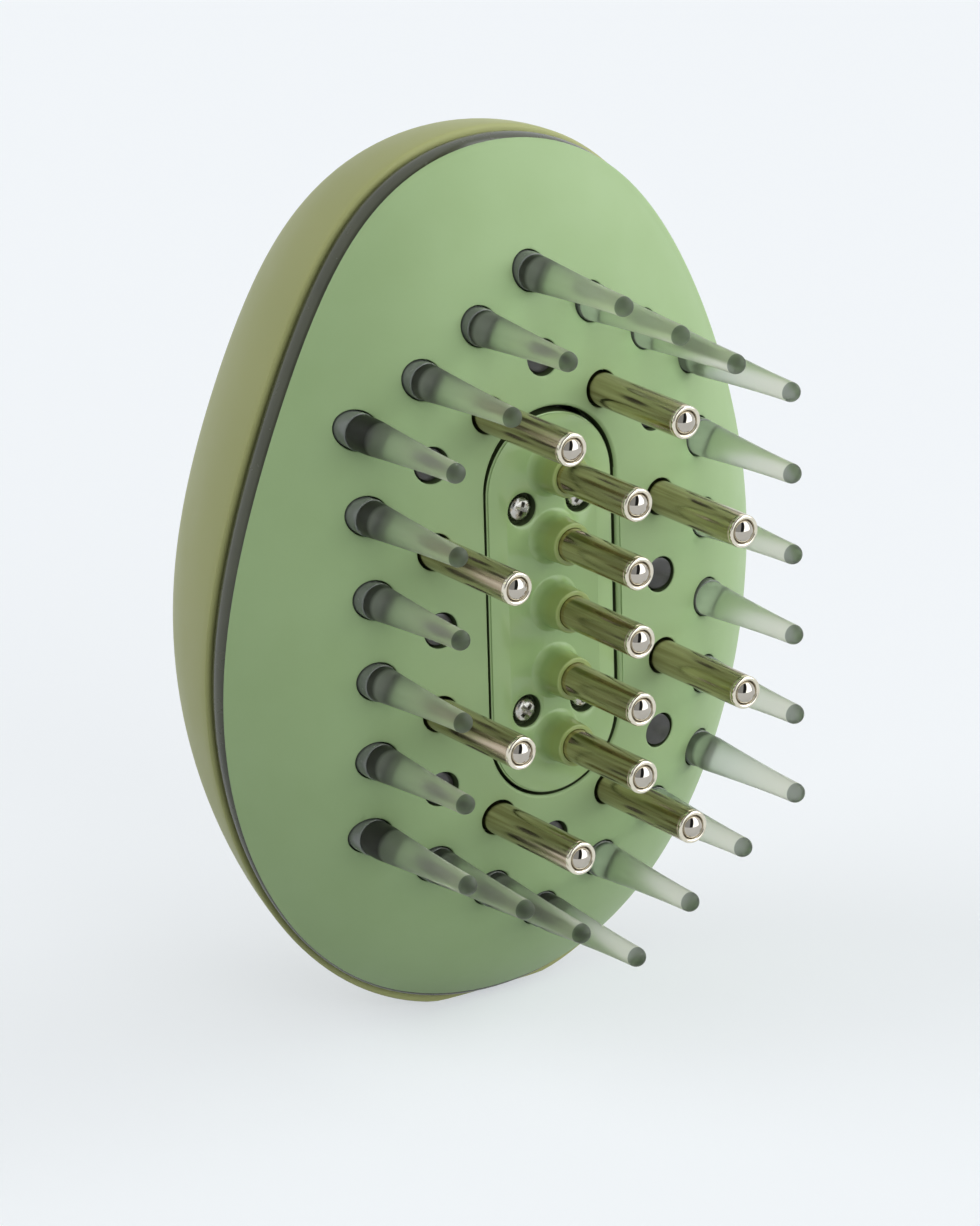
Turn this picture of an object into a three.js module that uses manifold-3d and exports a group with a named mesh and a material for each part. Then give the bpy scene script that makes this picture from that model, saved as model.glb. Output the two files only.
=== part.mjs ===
// Electric scalp massager: an egg-shaped two-shell body with clear light pins, metal roller
// prongs round its face and five more on a screwed plate in the middle.
//
// Everything is drawn in the face frame: the origin is the middle of the face, +X to the
// right, +Y to the back, +Z up. The group then stands the body on its foot.

import * as THREE from 'three';
import { mergeVertices } from 'three/addons/utils/BufferGeometryUtils.js';
import Module from 'manifold-3d';

const wasm = await Module();
wasm.setup();

// Driving dimensions, in millimetres

// Body outline, seen from the front
const bodyHalfWidth = 38.2;
const bodyHalfHeight = 54.7;
const bodyMiddle = -0.3; // height of the outline's middle above the face's middle
const bodyTaper = [-0.133, -0.051, 0.068, 0.176]; // widening with height, to the 4th power

// Seam line between the shells, which leans and waves a little
const seamDepth = 12.7;
const seamLean = 5.4;
const seamWave = 4.2;
const grooveWidth = 3.4;

// Front cover
const coverWall = 1.8;
const rimInset = 0.5; // the cover's rim, in from the outline
const faceFlatness = 3.9; // exponent of the cover's crown
const coverPostRadius = 2.4;
const coverPostInset = 8.6; // post centres, in from the outline
const skirtWall = 0.9;
const skirtDepth = 3.4;

// Back shell
const domeDepth = 35.6;
const domeLift = 6.3; // how much higher the dome's crown is than the outline's middle
const domeRoundness = 2.1;
const shellWall = 2.2;
const footCut = 1.1; // height taken off the lower end for the flat foot

// Smoked band in the groove
const bandRecess = 0.3;
const bandTongue = 3.0;
const bandTongueWall = 1.2;

// Pattern of pins and prongs on the face
const patternSideMargin = 14.5; // outermost pins, in from the outline
const patternEndMargin = 14.7;
const sideProngSpread = 0.15; // how far a side prong stands outside its column
const sideProngDrop = 0.35;
const centreCount = 5;

// Clear light pins
const pinReach = 15.1; // centre of the round tip, in front of the face
const pinTipRadius = 1.2;
const pinRootRadius = 2.15;
const pinRootDepth = 1.5;
const pinFlare = 1.35; // exponent of the flare towards the root
const windowRadius = 2.0;
const windowRecess = 0.5;

// Light guides and board behind the cover
const guideLead = 3.2; // front of the guides, ahead of the seam at the face's middle
const guideThickness = 1.4;
const guideInset = 5.5; // the guides' and the board's outermost edge, in from the outline
const guideMargin = 2.9; // plastic outside the outermost pin centres
const ledSize = 1.6;
const ledHeight = 1.0;
const boardThickness = 1.2;

// Roller prongs
const prongRadius = 2.0;
const prongBore = 1.1;
const collarRadius = 2.7;
const collarThickness = 0.8;
const rimRounding = 0.3;
const ballRadius = 1.5;
const ballClearance = 0.15;
const ballShow = 0.65; // how far a ball stands out of its rim
const rimOverlap = 0.08; // how far the rim closes over the ball
const seatLength = 1.5;
const sideReach = 15.15; // centre of a side prong's ball, in front of the face
const centreReach = 16.6;

// Centre plate
const openingHalfWidth = 9.3;
const openingEndMargin = 0.9; // opening's end, short of the side prongs' last row
const plateGap = 0.35;
const plateEndGap = 0.5;
const plateDrop = 0.15; // the plate sits a little low in its opening
const plateRecess = 0.1;
const plateThickness = 3.2;
const bossFootRadius = 3.1;
const bossTopRadius = 2.6;
const bossHeight = 4.1;
const bossSweep = 1.8; // exponent of the sweep from the boss's foot to its top
const endBossMargin = 7.4; // end bosses' middles, in from the opening's ends
const plateScrewSpan = 8.25;
const plateScrewHeadRadius = 1.6;
const plateScrewHeadHeight = 1.1;
const plateScrewSink = 0.15; // head below the plate's face
const plateScrewRadius = 0.85;
const plateScrewLength = 5.5;

// Inner frame
const frameThickness = 2.0;
const frameInset = 6.2;
const pedestalInset = 1.9; // in from the plate's opening
const frameScrewRadius = 1.0;
const frameScrewHeadRadius = 2.2;
const frameScrewHeadHeight = 1.4;
const frameScrewLength = 5.2;

// Battery and its tray
const batteryWidth = 30;
const batteryThickness = 7;
const batteryTop = 7;
const batteryFootMargin = 16; // battery's lower end, above the body's
const batteryCorner = 2.5;
const trayWall = 1.4;
const trayDepth = 4.5;

// Vibration motor, lying across the frame
const motorRadius = 5;
const motorLength = 18;
const motorHeight = 25; // above the face's middle
const motorShift = -2; // the can's middle, to the left so that the weight has room
const motorShaftRadius = 0.75;
const weightRadius = 4.4;
const weightLength = 4.2;
const weightGap = 1.2;
const cradleWall = 2.4;
const cradleHeight = 4.6;

// Main board, under the dome
const mainBoardWidth = 24;
const mainBoardTop = 19.5;
const mainBoardBottom = -24.5;
const controlChipSize = 7;
const controlChipMiddle = -9;
const chargeChipSize = 4.5;
const chargeChipMiddle = 13;
const chipThickness = 1.1;
const boardPostRadius = 2.2;
const boardPostInset = 2.6;
const boardScrewRadius = 0.9;
const boardScrewHeadRadius = 1.7;
const boardScrewHeadHeight = 1.1;
const boardScrewLength = 4.0;

// Power button and its switch
const buttonRadius = 7;
const buttonProud = 0.6;
const buttonFlange = 1.4;
const buttonFlangeThickness = 0.9;
const buttonStemRadius = 1.8;
const buttonStemLength = 1.0; // in front of the flange
const buttonTravel = 0.6;
const buttonSeatDrop = 1.6; // flat inside face round the button's hole, below the dome's wall
const buttonSeatWall = 2.7;
const switchSize = 6;
const switchHeight = 3.5;
const plungerRadius = 1.7;
const plungerHeight = 0.7;

// Charging socket
const socketWidth = 9.0;
const socketHeight = 3.3;
const socketMiddle = -17.5;
const socketSink = 0.8; // mouth below the shell's surface
const socketWall = 0.4;
const socketMouthDepth = 5.5;

// Clearances
const seatGap = 0.2; // between pieces that rest on each other
const holeGap = 0.2; // round a piece that passes through a hole
const pinHoleGap = 0.25;
const threadGap = 0.15; // round a screw in its pilot hole
const tongueGap = 0.45; // between the band's tongue and the shell behind it
const pressGap = 0.3; // left between the stem and the plunger when the button is down
const overshoot = 1; // how far a cutter runs past what it cuts

// Facets
const outlineSegments = 32;
const roundSegments = 10;
const cornerSegments = 3;
const socketSegments = 5;
const screwSegments = 6;
const buttonSegments = 16;
const prongSegments = 8;
const pinSegments = 8;
const ballRings = 5;
const outerShares = [0.45, 0.66, 0.8, 0.91, 1]; // rings of the cover's crown, and of its inside
const innerShares = [0.55, 0.86, 1];

// Places that follow from the sizes above
const guideDepth = seamDepth - guideLead;
const columnPitch = (bodyHalfWidth - patternSideMargin) / 3;
const rowPitch = (bodyHalfHeight - patternEndMargin) / 4;
const openingHalfHeight = 2.5 * rowPitch - openingEndMargin;
const centrePitch = 2 * (openingHalfHeight - endBossMargin) / (centreCount - 1);
const guideSplit = 1.5 * columnPitch; // half the width of the upper and lower guides
const guideFork = 2.5 * rowPitch - prongRadius - guideMargin; // where those two begin
const batteryBottom = bodyMiddle - bodyHalfHeight + batteryFootMargin;
const batteryHeight = batteryTop - batteryBottom;
const batteryMiddle = (batteryTop + batteryBottom) / 2;
const guideBack = guideDepth + guideThickness;
const ledBoardDepth = guideBack + seatGap + collarThickness + seatGap;
const frameDepth = ledBoardDepth + boardThickness + seatGap;
const frameBack = frameDepth + frameThickness;
const plateBack = plateRecess + plateThickness;
const sideCollarDepth = guideBack + seatGap;
const centreCollarDepth = plateBack - seatGap - collarThickness;
const plateScrewSeat = plateRecess + plateScrewSink + plateScrewHeadHeight;
const footHeight = bodyHalfHeight - bodyMiddle - footCut;

// The main board hangs under the dome at the reach of the button's stem
const domeTop = bodyMiddle + domeLift; // height of the dome's crown
const domeCrown = seamAt(bodyMiddle) + domeDepth;
const buttonSeat = domeCrown - shellWall - buttonSeatDrop;
const stemEnd = buttonSeat - seatGap - buttonFlangeThickness - buttonStemLength;
const switchTip = stemEnd - buttonTravel - pressGap;
const mainBoardBack = switchTip - plungerHeight - switchHeight;
const mainBoardDepth = mainBoardBack - boardThickness;

const clearPinPlaces = [
  ...[-25, -15, -5, 5, 15, 25].flatMap((z) => [[-3, z / 10], [3, z / 10]]),
  ...[-30, 30].flatMap((z) => [[-2, z / 10], [2, z / 10]]),
  ...[-35, 35].flatMap((z) => [[-1, z / 10], [1, z / 10]]),
  [0, -4],
  [0, 4],
].map(([column, row]) => [column * columnPitch, row * rowPitch]);

const windowPlaces = [
  ...[-2, 2].flatMap((column) => [[column, -2], [column, 0], [column, 2]]),
  [0, -3],
  [0, 3],
].map(([column, row]) => [column * columnPitch, row * rowPitch]);

const sideProngPlaces = [
  ...[-1, 1].flatMap((side) => [[side, 2.5], [2 * side, 1], [2 * side, -1], [side, -2.5]]),
].map(([column, row]) => [
  column * (columnPitch + sideProngSpread),
  row * rowPitch - sideProngDrop,
]);

const centrePlaces = Array.from({ length: centreCount }, (_, i) => [
  0,
  ((centreCount - 1) / 2 - i) * centrePitch,
]);

// The plate's screws stand level with the middles between the end bosses and their neighbours
const plateScrewPlaces = [-1, 1].flatMap((side) => [1, -1].map((end) => [
  side * plateScrewSpan / 2,
  end * (centreCount - 2) * centrePitch / 2 - plateDrop / 2,
]));

const coverPostPlaces = [
  [-(bodyHalfWidth - coverPostInset), 0],
  [bodyHalfWidth - coverPostInset, 0],
  [0, bodyMiddle + bodyHalfHeight - coverPostInset],
  [0, bodyMiddle - bodyHalfHeight + coverPostInset],
];

const boardPostPlaces = [-1, 1].flatMap((side) =>
  [mainBoardTop - boardPostInset, mainBoardBottom + boardPostInset].map((z) => [
    side * (mainBoardWidth / 2 - boardPostInset),
    z,
  ]));

// Solids

function cleanMesh(geometry) {
  const bare = geometry.clone();
  bare.deleteAttribute('normal');
  bare.deleteAttribute('uv');
  const merged = mergeVertices(bare, 1e-4);
  const corners = merged.index.array;
  const kept = [];
  for (let i = 0; i < corners.length; i += 3) {
    const [a, b, c] = [corners[i], corners[i + 1], corners[i + 2]];
    if (a !== b && b !== c && c !== a) kept.push(a, b, c);
  }
  merged.setIndex(kept);
  return merged;
}

function toSolid(geometry) {
  const clean = cleanMesh(geometry);
  return new wasm.Manifold(new wasm.Mesh({
    numProp: 3,
    vertProperties: new Float32Array(clean.attributes.position.array),
    triVerts: new Uint32Array(clean.index.array),
  }));
}

function toGeometry(solid) {
  const mesh = solid.getMesh();
  const geometry = new THREE.BufferGeometry();
  geometry.setAttribute('position', new THREE.BufferAttribute(mesh.vertProperties, 3));
  geometry.setIndex(new THREE.BufferAttribute(mesh.triVerts, 1));
  return geometry;
}

function signedVolume(positions, faces) {
  let volume = 0;
  const [a, b, c] = [new THREE.Vector3(), new THREE.Vector3(), new THREE.Vector3()];
  for (let i = 0; i < faces.length; i += 3) {
    a.fromArray(positions, 3 * faces[i]);
    b.fromArray(positions, 3 * faces[i + 1]);
    c.fromArray(positions, 3 * faces[i + 2]);
    volume += a.dot(b.cross(c)) / 6;
  }
  return volume;
}

// Joins rings of points, each with the same count. With closing points the ends are fans to
// them, without any the last ring joins the first again.
function loft(rings, ends = null) {
  const count = rings[0].length;
  const points = [...rings.flat(), ...(ends ?? [])];
  const faces = [];
  const joined = ends ? rings.length - 1 : rings.length;
  for (let ring = 0; ring < joined; ring++) {
    const here = ring * count;
    const there = ((ring + 1) % rings.length) * count;
    for (let i = 0; i < count; i++) {
      const next = (i + 1) % count;
      faces.push(here + i, here + next, there + next, here + i, there + next, there + i);
    }
  }
  if (ends) {
    const [first, last] = [rings.length * count, rings.length * count + 1];
    const lastRing = (rings.length - 1) * count;
    for (let i = 0; i < count; i++) {
      const next = (i + 1) % count;
      faces.push(first, next, i, last, lastRing + i, lastRing + next);
    }
  }
  const positions = points.flat();
  if (signedVolume(positions, faces) < 0) faces.reverse();
  const geometry = new THREE.BufferGeometry();
  geometry.setAttribute('position', new THREE.Float32BufferAttribute(positions, 3));
  geometry.setIndex(faces);
  return geometry;
}

// A round bar along Y between two depths, at a place on the face
function bar([x, z], radius, from, to, segments = roundSegments, endRadius = radius) {
  const geometry = new THREE.CylinderGeometry(endRadius, radius, to - from, segments);
  geometry.translate(x, (from + to) / 2, z);
  return toSolid(geometry);
}

function box(xRange, yRange, zRange) {
  const [size, middle] = [new THREE.Vector3(), new THREE.Vector3()];
  const bounds = new THREE.Box3(
    new THREE.Vector3(xRange[0], yRange[0], zRange[0]),
    new THREE.Vector3(xRange[1], yRange[1], zRange[1]),
  );
  bounds.getSize(size);
  bounds.getCenter(middle);
  const geometry = new THREE.BoxGeometry(size.x, size.y, size.z);
  geometry.translate(middle.x, middle.y, middle.z);
  return toSolid(geometry);
}

// A flat shape drawn in X and Z, thickened from one depth to another
function slab(shape, from, to, segments = roundSegments) {
  const geometry = new THREE.ExtrudeGeometry(shape, {
    depth: to - from,
    bevelEnabled: false,
    curveSegments: segments,
  });
  geometry.rotateX(Math.PI / 2);
  geometry.translate(0, to, 0);
  return toSolid(geometry);
}

function turned(profile, [x, z], segments) {
  const points = profile.map(([radius, depth]) => new THREE.Vector2(radius, depth));
  const geometry = new THREE.LatheGeometry(points, segments);
  geometry.translate(x, 0, z);
  const clean = cleanMesh(geometry);
  const faces = Array.from(clean.index.array);
  if (signedVolume(clean.attributes.position.array, faces) < 0) clean.setIndex(faces.reverse());
  return clean;
}

function join(solids) {
  return solids.reduce((whole, piece) => whole.add(piece));
}

function cut(solid, cutters) {
  return cutters.reduce((rest, cutter) => rest.subtract(cutter), solid);
}

// Shapes, drawn with Z as the second axis turned over by the slab

function stadium(halfWidth, halfHeight, middle = 0) {
  const straight = halfHeight - halfWidth;
  const shape = new THREE.Shape();
  shape.absarc(0, middle + straight, halfWidth, 0, Math.PI);
  shape.absarc(0, middle - straight, halfWidth, Math.PI, 2 * Math.PI);
  return shape;
}

function roundedBox(width, height, corner, middle) {
  const [x, z] = [width / 2 - corner, height / 2 - corner];
  const shape = new THREE.Shape();
  shape.absarc(x, middle + z, corner, 0, Math.PI / 2);
  shape.absarc(-x, middle + z, corner, Math.PI / 2, Math.PI);
  shape.absarc(-x, middle - z, corner, Math.PI, 1.5 * Math.PI);
  shape.absarc(x, middle - z, corner, 1.5 * Math.PI, 2 * Math.PI);
  return shape;
}

function patternHexagon() {
  const x = 3 * columnPitch + guideMargin;
  const shoulder = 2.5 * rowPitch + guideMargin / 2;
  const tip = 4 * rowPitch + guideMargin;
  return new THREE.Shape([
    [x, -shoulder], [x, shoulder], [0, tip], [-x, shoulder], [-x, -shoulder], [0, -tip],
  ].map(([px, pz]) => new THREE.Vector2(px, pz)));
}

// A point of the egg outline, drawn in by an inset. The lift keeps the inside clear of the foot.
function outlinePoint(angle, inset, lift = 0) {
  const s = Math.sin(angle);
  const widening = bodyTaper.reduce((sum, share, i) => sum + share * s ** (i + 1), 1);
  return [
    (bodyHalfWidth - inset) * Math.cos(angle) * widening,
    (bodyHalfHeight - inset - lift / 2) * s,
  ];
}

function seamAt(z) {
  const u = z / bodyHalfHeight;
  return seamDepth - seamLean * u + seamWave * u ** 3;
}

function ringAngles() {
  return Array.from({ length: outlineSegments }, (_, i) => (2 * Math.PI * i) / outlineSegments);
}

// Ring of the cover's crowned surface: share 0 is its middle and 1 its rim
function coverRing(share, start, inset, lift) {
  const middle = bodyMiddle + lift / 2;
  return ringAngles().map((angle) => {
    const [x, z] = outlinePoint(angle, inset, lift);
    const height = middle + share * z;
    return [share * x, start + (seamAt(height) - start) * share ** faceFlatness, height];
  });
}

// Ring of the dome's surface, at a depth behind the seam
function domeRing(depth, inset, lift = 0) {
  const rise = Math.min(depth / (domeDepth - inset), 1);
  const share = (1 - rise ** 2) ** (1 / domeRoundness);
  const middle = bodyMiddle + lift / 2;
  return ringAngles().map((angle) => {
    const [x, z] = outlinePoint(angle, inset, lift);
    const height = middle + share * z;
    return [share * x, seamAt(height) + depth, height + domeLift * rise];
  });
}

function domePole(inset, lift) {
  const middle = bodyMiddle + lift / 2;
  return [0, seamAt(middle) + domeDepth - inset, middle + domeLift];
}

// How far out, as a share of the outline, a place on the face lies
function shareAt(x, z) {
  let [low, high] = [0, 1];
  for (let step = 0; step < 30; step++) {
    const share = (low + high) / 2;
    const s = (z - bodyMiddle) / (share * (bodyHalfHeight - rimInset));
    const inside = Math.abs(s) < 1
      && Math.abs(x) < share * outlinePoint(Math.asin(s), rimInset)[0];
    if (inside) high = share;
    else low = share;
  }
  return high;
}

function faceAt(x, z) {
  return seamAt(z) * shareAt(x, z) ** faceFlatness;
}

// Depth of the dome's outer surface on the line x = 0
function domeAt(z) {
  let [low, high] = [0, 1];
  for (let step = 0; step < 30; step++) {
    const share = (low + high) / 2;
    const rise = Math.sqrt(1 - share ** domeRoundness);
    const side = Math.sign(z - bodyMiddle - domeLift * rise);
    const height = bodyMiddle + side * share * bodyHalfHeight + domeLift * rise;
    if (side * (z - height) > 0) low = share;
    else high = share;
  }
  const rise = Math.sqrt(1 - low ** domeRoundness);
  return seamAt(z - domeLift * rise) + domeDepth * rise;
}

function belowFoot() {
  const reach = 2 * bodyHalfHeight;
  return box([-reach, reach], [-reach, reach], [-reach, -footHeight]);
}

// Pieces of the body

function frontCover() {
  const inside = innerShares.map((share) =>
    coverRing(share, coverWall, rimInset + coverWall, footCut));
  const rings = [
    ...outerShares.map((share) => coverRing(share, 0, rimInset, 0)),
    ...inside.reverse(),
  ];
  const wall = toSolid(loft(rings, [[0, 0, bodyMiddle], [0, coverWall, bodyMiddle + footCut / 2]]));
  const skirt = slab(
    stadium(openingHalfWidth + skirtWall, openingHalfHeight + skirtWall),
    coverWall / 2,
    skirtDepth,
  );
  const postEnd = frameDepth - seatGap;
  const behindInset = rimInset + coverWall / 2;
  const behindFace = toSolid(loft([
    ...outerShares.map((share) => coverRing(share, coverWall / 2, behindInset, 0)),
    coverRing(1, 0, behindInset, 0).map(([x, , z]) => [x, frameBack, z]),
  ], [[0, coverWall / 2, bodyMiddle], [0, frameBack, bodyMiddle]]));
  const posts = coverPostPlaces.map((place) =>
    bar(place, coverPostRadius, 0, postEnd).intersect(behindFace));
  const pilot = frameScrewRadius + threadGap;
  const pilotEnd = frameBack - frameScrewLength;
  const front = -overshoot;
  return cut(join([wall, skirt, ...posts]), [
    slab(stadium(openingHalfWidth, openingHalfHeight), front, skirtDepth + overshoot),
    ...clearPinPlaces.map((place) =>
      bar(place, pinRootRadius + pinHoleGap, front, guideDepth, pinSegments)),
    ...windowPlaces.map((place) =>
      bar(place, windowRadius + holeGap, front, guideDepth, pinSegments)),
    ...sideProngPlaces.map((place) => bar(place, prongRadius + pinHoleGap, front, guideDepth)),
    ...coverPostPlaces.map((place) => bar(place, pilot, pilotEnd, frameBack, screwSegments)),
    belowFoot(),
  ]);
}

function seamBand() {
  const inner = shellWall + tongueGap;
  const innermost = inner + bandTongueWall;
  const rings = [
    domeRing(seatGap, rimInset),
    domeRing(grooveWidth - seatGap, bandRecess),
    domeRing(grooveWidth - seatGap, inner, footCut),
    domeRing(grooveWidth + bandTongue, inner, footCut),
    domeRing(grooveWidth + bandTongue, innermost, footCut),
    domeRing(seatGap, innermost, footCut),
  ];
  return cut(toSolid(loft(rings)), [
    belowFoot(),
    ...coverPostPlaces.map((place) =>
      bar(place, frameScrewHeadRadius + holeGap, frameDepth, frameBack + bandTongue)),
  ]);
}

function backShell() {
  const turns = [0, 0.17, 0.35, 0.54, 0.74, 0.9];
  const depths = (inset) => turns.map((turn) => {
    const start = Math.asin(grooveWidth / (domeDepth - inset));
    return (domeDepth - inset) * Math.sin(start + turn * (Math.PI / 2 - start));
  });
  const rings = [
    ...depths(0).map((depth) => domeRing(depth, 0)).reverse(),
    ...depths(shellWall).map((depth) => domeRing(depth, shellWall, footCut)),
  ];
  const wall = toSolid(loft(rings, [domePole(0, 0), domePole(shellWall, footCut)]));
  const seat = bar(
    [0, domeTop],
    buttonRadius + buttonFlange + buttonSeatWall,
    buttonSeat,
    domeCrown - shellWall / 2,
    buttonSegments,
  );
  const posts = boardPostPlaces.map(([x, z]) =>
    bar([x, z], boardPostRadius, mainBoardBack + seatGap, domeAt(z) - shellWall, pinSegments));
  const pilot = boardScrewRadius + threadGap;
  const inside = toSolid(loft(
    depths(shellWall / 2).map((depth) => domeRing(depth, shellWall / 2)),
    [[0, seamAt(bodyMiddle) + grooveWidth, bodyMiddle], domePole(shellWall / 2, 0)],
  ));
  const fittings = join([seat, ...posts]).intersect(inside);
  const outside = domeCrown + overshoot;
  return cut(join([wall, fittings]), [
    bar([0, domeTop], buttonRadius + holeGap, buttonSeat - overshoot, outside, buttonSegments),
    slab(
      stadiumAcross(socketWidth / 2 + holeGap, socketHeight / 2 + holeGap, socketMiddle),
      mainBoardBack + overshoot,
      outside,
    ),
    ...boardPostPlaces.map((place) =>
      bar(place, pilot, mainBoardDepth, mainBoardDepth + boardScrewLength + seatGap, screwSegments)),
    belowFoot(),
  ]);
}

// The charging socket's outline, longer in X
function stadiumAcross(halfWidth, halfHeight, middle) {
  const straight = halfWidth - halfHeight;
  const shape = new THREE.Shape();
  shape.absarc(straight, middle, halfHeight, -Math.PI / 2, Math.PI / 2);
  shape.absarc(-straight, middle, halfHeight, Math.PI / 2, 1.5 * Math.PI);
  return shape;
}

function centrePlate() {
  const halfWidth = openingHalfWidth - plateGap;
  const halfHeight = openingHalfHeight - plateEndGap;
  const plate = slab(stadium(halfWidth, halfHeight, -plateDrop), plateRecess, plateBack);
  const steps = [0, 0.3, 1];
  const profile = [
    [0, plateRecess + plateThickness / 2],
    [bossFootRadius, plateRecess + plateThickness / 2],
    ...steps.map((step) => [
      bossTopRadius + (bossFootRadius - bossTopRadius) * (1 - step) ** bossSweep,
      plateRecess - bossHeight * step,
    ]),
    [0, plateRecess - bossHeight],
  ];
  const bosses = centrePlaces.map((place) => toSolid(turned(profile, place, roundSegments)));
  const front = plateRecess - bossHeight - overshoot;
  const back = plateBack + overshoot;
  return cut(join([plate, ...bosses]), [
    ...centrePlaces.map((place) => bar(place, prongRadius + holeGap, front, back)),
    ...centrePlaces.map((place) =>
      bar(place, collarRadius + holeGap, centreCollarDepth - seatGap, back)),
    ...plateScrewPlaces.map((place) => bar(place, plateScrewRadius + holeGap, front, back)),
    ...plateScrewPlaces.map((place) =>
      bar(place, plateScrewHeadRadius + 2 * holeGap, front, plateScrewSeat + seatGap)),
  ]);
}

// A turned tube with a collar at its back end and a rim closed over a ball at its front end
function prong(place, reach, collarDepth) {
  const front = -reach - ballRadius + ballShow;
  const socket = ballRadius + ballClearance;
  const back = collarDepth + collarThickness;
  return turned([
    [prongBore, back],
    [collarRadius, back],
    [collarRadius, collarDepth],
    [prongRadius, collarDepth],
    [prongRadius, front + rimRounding],
    [ballRadius - rimOverlap, front],
    [socket, front + rimRounding],
    [socket, -reach + ballRadius / 2],
    [prongBore, -reach + seatLength],
    [prongBore, back],
  ], place, prongSegments);
}

function ball([x, z], reach) {
  const geometry = new THREE.SphereGeometry(ballRadius, pinSegments, ballRings);
  geometry.translate(x, -reach, z);
  return cleanMesh(geometry);
}

// Light guides

function lightPin(place) {
  const tip = -pinReach;
  const root = pinRootDepth;
  const profile = [[0, guideDepth + guideThickness / 2], [pinRootRadius, guideDepth + guideThickness / 2]];
  const steps = [0, 0.3, 1];
  for (const step of steps) {
    const radius = pinTipRadius + (pinRootRadius - pinTipRadius) * (1 - step) ** pinFlare;
    profile.push([radius, root + (tip - root) * step]);
  }
  const roundings = [Math.PI / 4];
  for (const turn of roundings) {
    profile.push([pinTipRadius * Math.cos(turn), tip - pinTipRadius * Math.sin(turn)]);
  }
  profile.push([0, tip - pinTipRadius]);
  return toSolid(turned(profile, place, pinSegments));
}

function lightWindow([x, z]) {
  const front = faceAt(x, z) + windowRecess;
  return bar([x, z], windowRadius, front, guideDepth + guideThickness / 2, pinSegments);
}

function pedestalSlot(from, to) {
  return slab(
    stadium(
      openingHalfWidth - pedestalInset + 2 * holeGap,
      openingHalfHeight - pedestalInset + 2 * holeGap,
      -plateDrop,
    ),
    from,
    to,
  );
}

// The room behind the cover's wall
function insideCover() {
  const start = coverWall + seatGap;
  const inset = rimInset + start;
  const rings = innerShares.map((share) => coverRing(share, start, inset, footCut));
  const rim = coverRing(1, start, inset, footCut).map(([x, , z]) => [x, frameBack, z]);
  const middle = bodyMiddle + footCut / 2;
  return toSolid(loft([...rings, rim], [[0, start, middle], [0, frameBack, middle]]));
}

// A sheet that spans the pattern, clear of the cover's wall and posts
function patternSheet(from, to) {
  const within = slab(outlineShape(guideInset, footCut), from, to).intersect(insideCover());
  return cut(slab(patternHexagon(), from, to).intersect(within), coverPostPlaces.map((place) =>
    bar(place, coverPostRadius + seatGap, from - overshoot, to + overshoot)));
}

function wholeGuide() {
  const plate = patternSheet(guideDepth, guideBack);
  return cut(join([plate, ...clearPinPlaces.map(lightPin), ...windowPlaces.map(lightWindow)]), [
    pedestalSlot(guideDepth - overshoot, guideBack + overshoot),
    ...sideProngPlaces.map((place) =>
      bar(place, prongRadius + holeGap, guideDepth - overshoot, guideBack + overshoot)),
  ]);
}

function lightGuides() {
  const whole = wholeGuide();
  const reach = 2 * bodyHalfHeight;
  const depths = [-reach, reach];
  const middle = [-guideSplit + seatGap / 2, guideSplit - seatGap / 2];
  return {
    light_guide_left: whole.intersect(box([-reach, -guideSplit - seatGap / 2], depths, depths)),
    light_guide_right: whole.intersect(box([guideSplit + seatGap / 2, reach], depths, depths)),
    light_guide_top: whole.intersect(box(middle, depths, [guideFork, reach])),
    light_guide_bottom: whole.intersect(box(middle, depths, [-reach, -guideFork])),
  };
}

// Pieces inside the body

function ledBoard() {
  const board = patternSheet(ledBoardDepth, ledBoardDepth + boardThickness);
  const chips = [...clearPinPlaces, ...windowPlaces].map(([x, z]) => box(
    [x - ledSize / 2, x + ledSize / 2],
    [ledBoardDepth - ledHeight, ledBoardDepth + boardThickness / 2],
    [z - ledSize / 2, z + ledSize / 2],
  ));
  return cut(join([board, ...chips]), [
    pedestalSlot(ledBoardDepth - overshoot, ledBoardDepth + boardThickness + overshoot),
  ]);
}

function outlineShape(inset, lift) {
  return new THREE.Shape(ringAngles().map((angle) => {
    const [x, z] = outlinePoint(angle, inset, lift);
    return new THREE.Vector2(x, bodyMiddle + lift / 2 + z);
  }));
}

function innerFrame() {
  const plate = slab(outlineShape(frameInset, footCut), frameDepth, frameBack);
  const pedestal = slab(
    stadium(openingHalfWidth - pedestalInset, openingHalfHeight - pedestalInset, -plateDrop),
    plateBack + seatGap,
    frameDepth + frameThickness / 2,
  );
  const trayWidth = batteryWidth + 2 * (seatGap + trayWall);
  const trayHeight = batteryHeight + 2 * (seatGap + trayWall);
  const corner = batteryCorner + seatGap;
  const tray = cut(
    slab(
      roundedBox(trayWidth, trayHeight, corner + trayWall, batteryMiddle),
      frameDepth + frameThickness / 2,
      frameBack + trayDepth,
      cornerSegments,
    ),
    [slab(
      roundedBox(batteryWidth + 2 * seatGap, batteryHeight + 2 * seatGap, corner, batteryMiddle),
      frameBack,
      frameBack + trayDepth + overshoot,
      cornerSegments,
    )],
  );
  const cradleReach = motorRadius + cradleWall / 2;
  const cradles = [-1, 1].map((side) => {
    const middle = motorShift + side * (motorLength / 2 - cradleWall);
    return box(
      [middle - cradleWall / 2, middle + cradleWall / 2],
      [frameDepth + frameThickness / 2, frameBack + cradleHeight],
      [motorHeight - cradleReach, motorHeight + cradleReach],
    );
  });
  const pilot = plateScrewRadius + threadGap;
  const screwTip = plateScrewSeat + plateScrewLength;
  return cut(join([plate, pedestal, tray, ...cradles]), [
    alongX(motorRadius + seatGap, -motorLength, motorLength),
    ...coverPostPlaces.map((place) =>
      bar(place, frameScrewRadius + holeGap, frameDepth - overshoot, frameBack + overshoot)),
    ...plateScrewPlaces.map((place) =>
      bar(place, pilot, plateBack, screwTip + seatGap, screwSegments)),
  ]);
}

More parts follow.
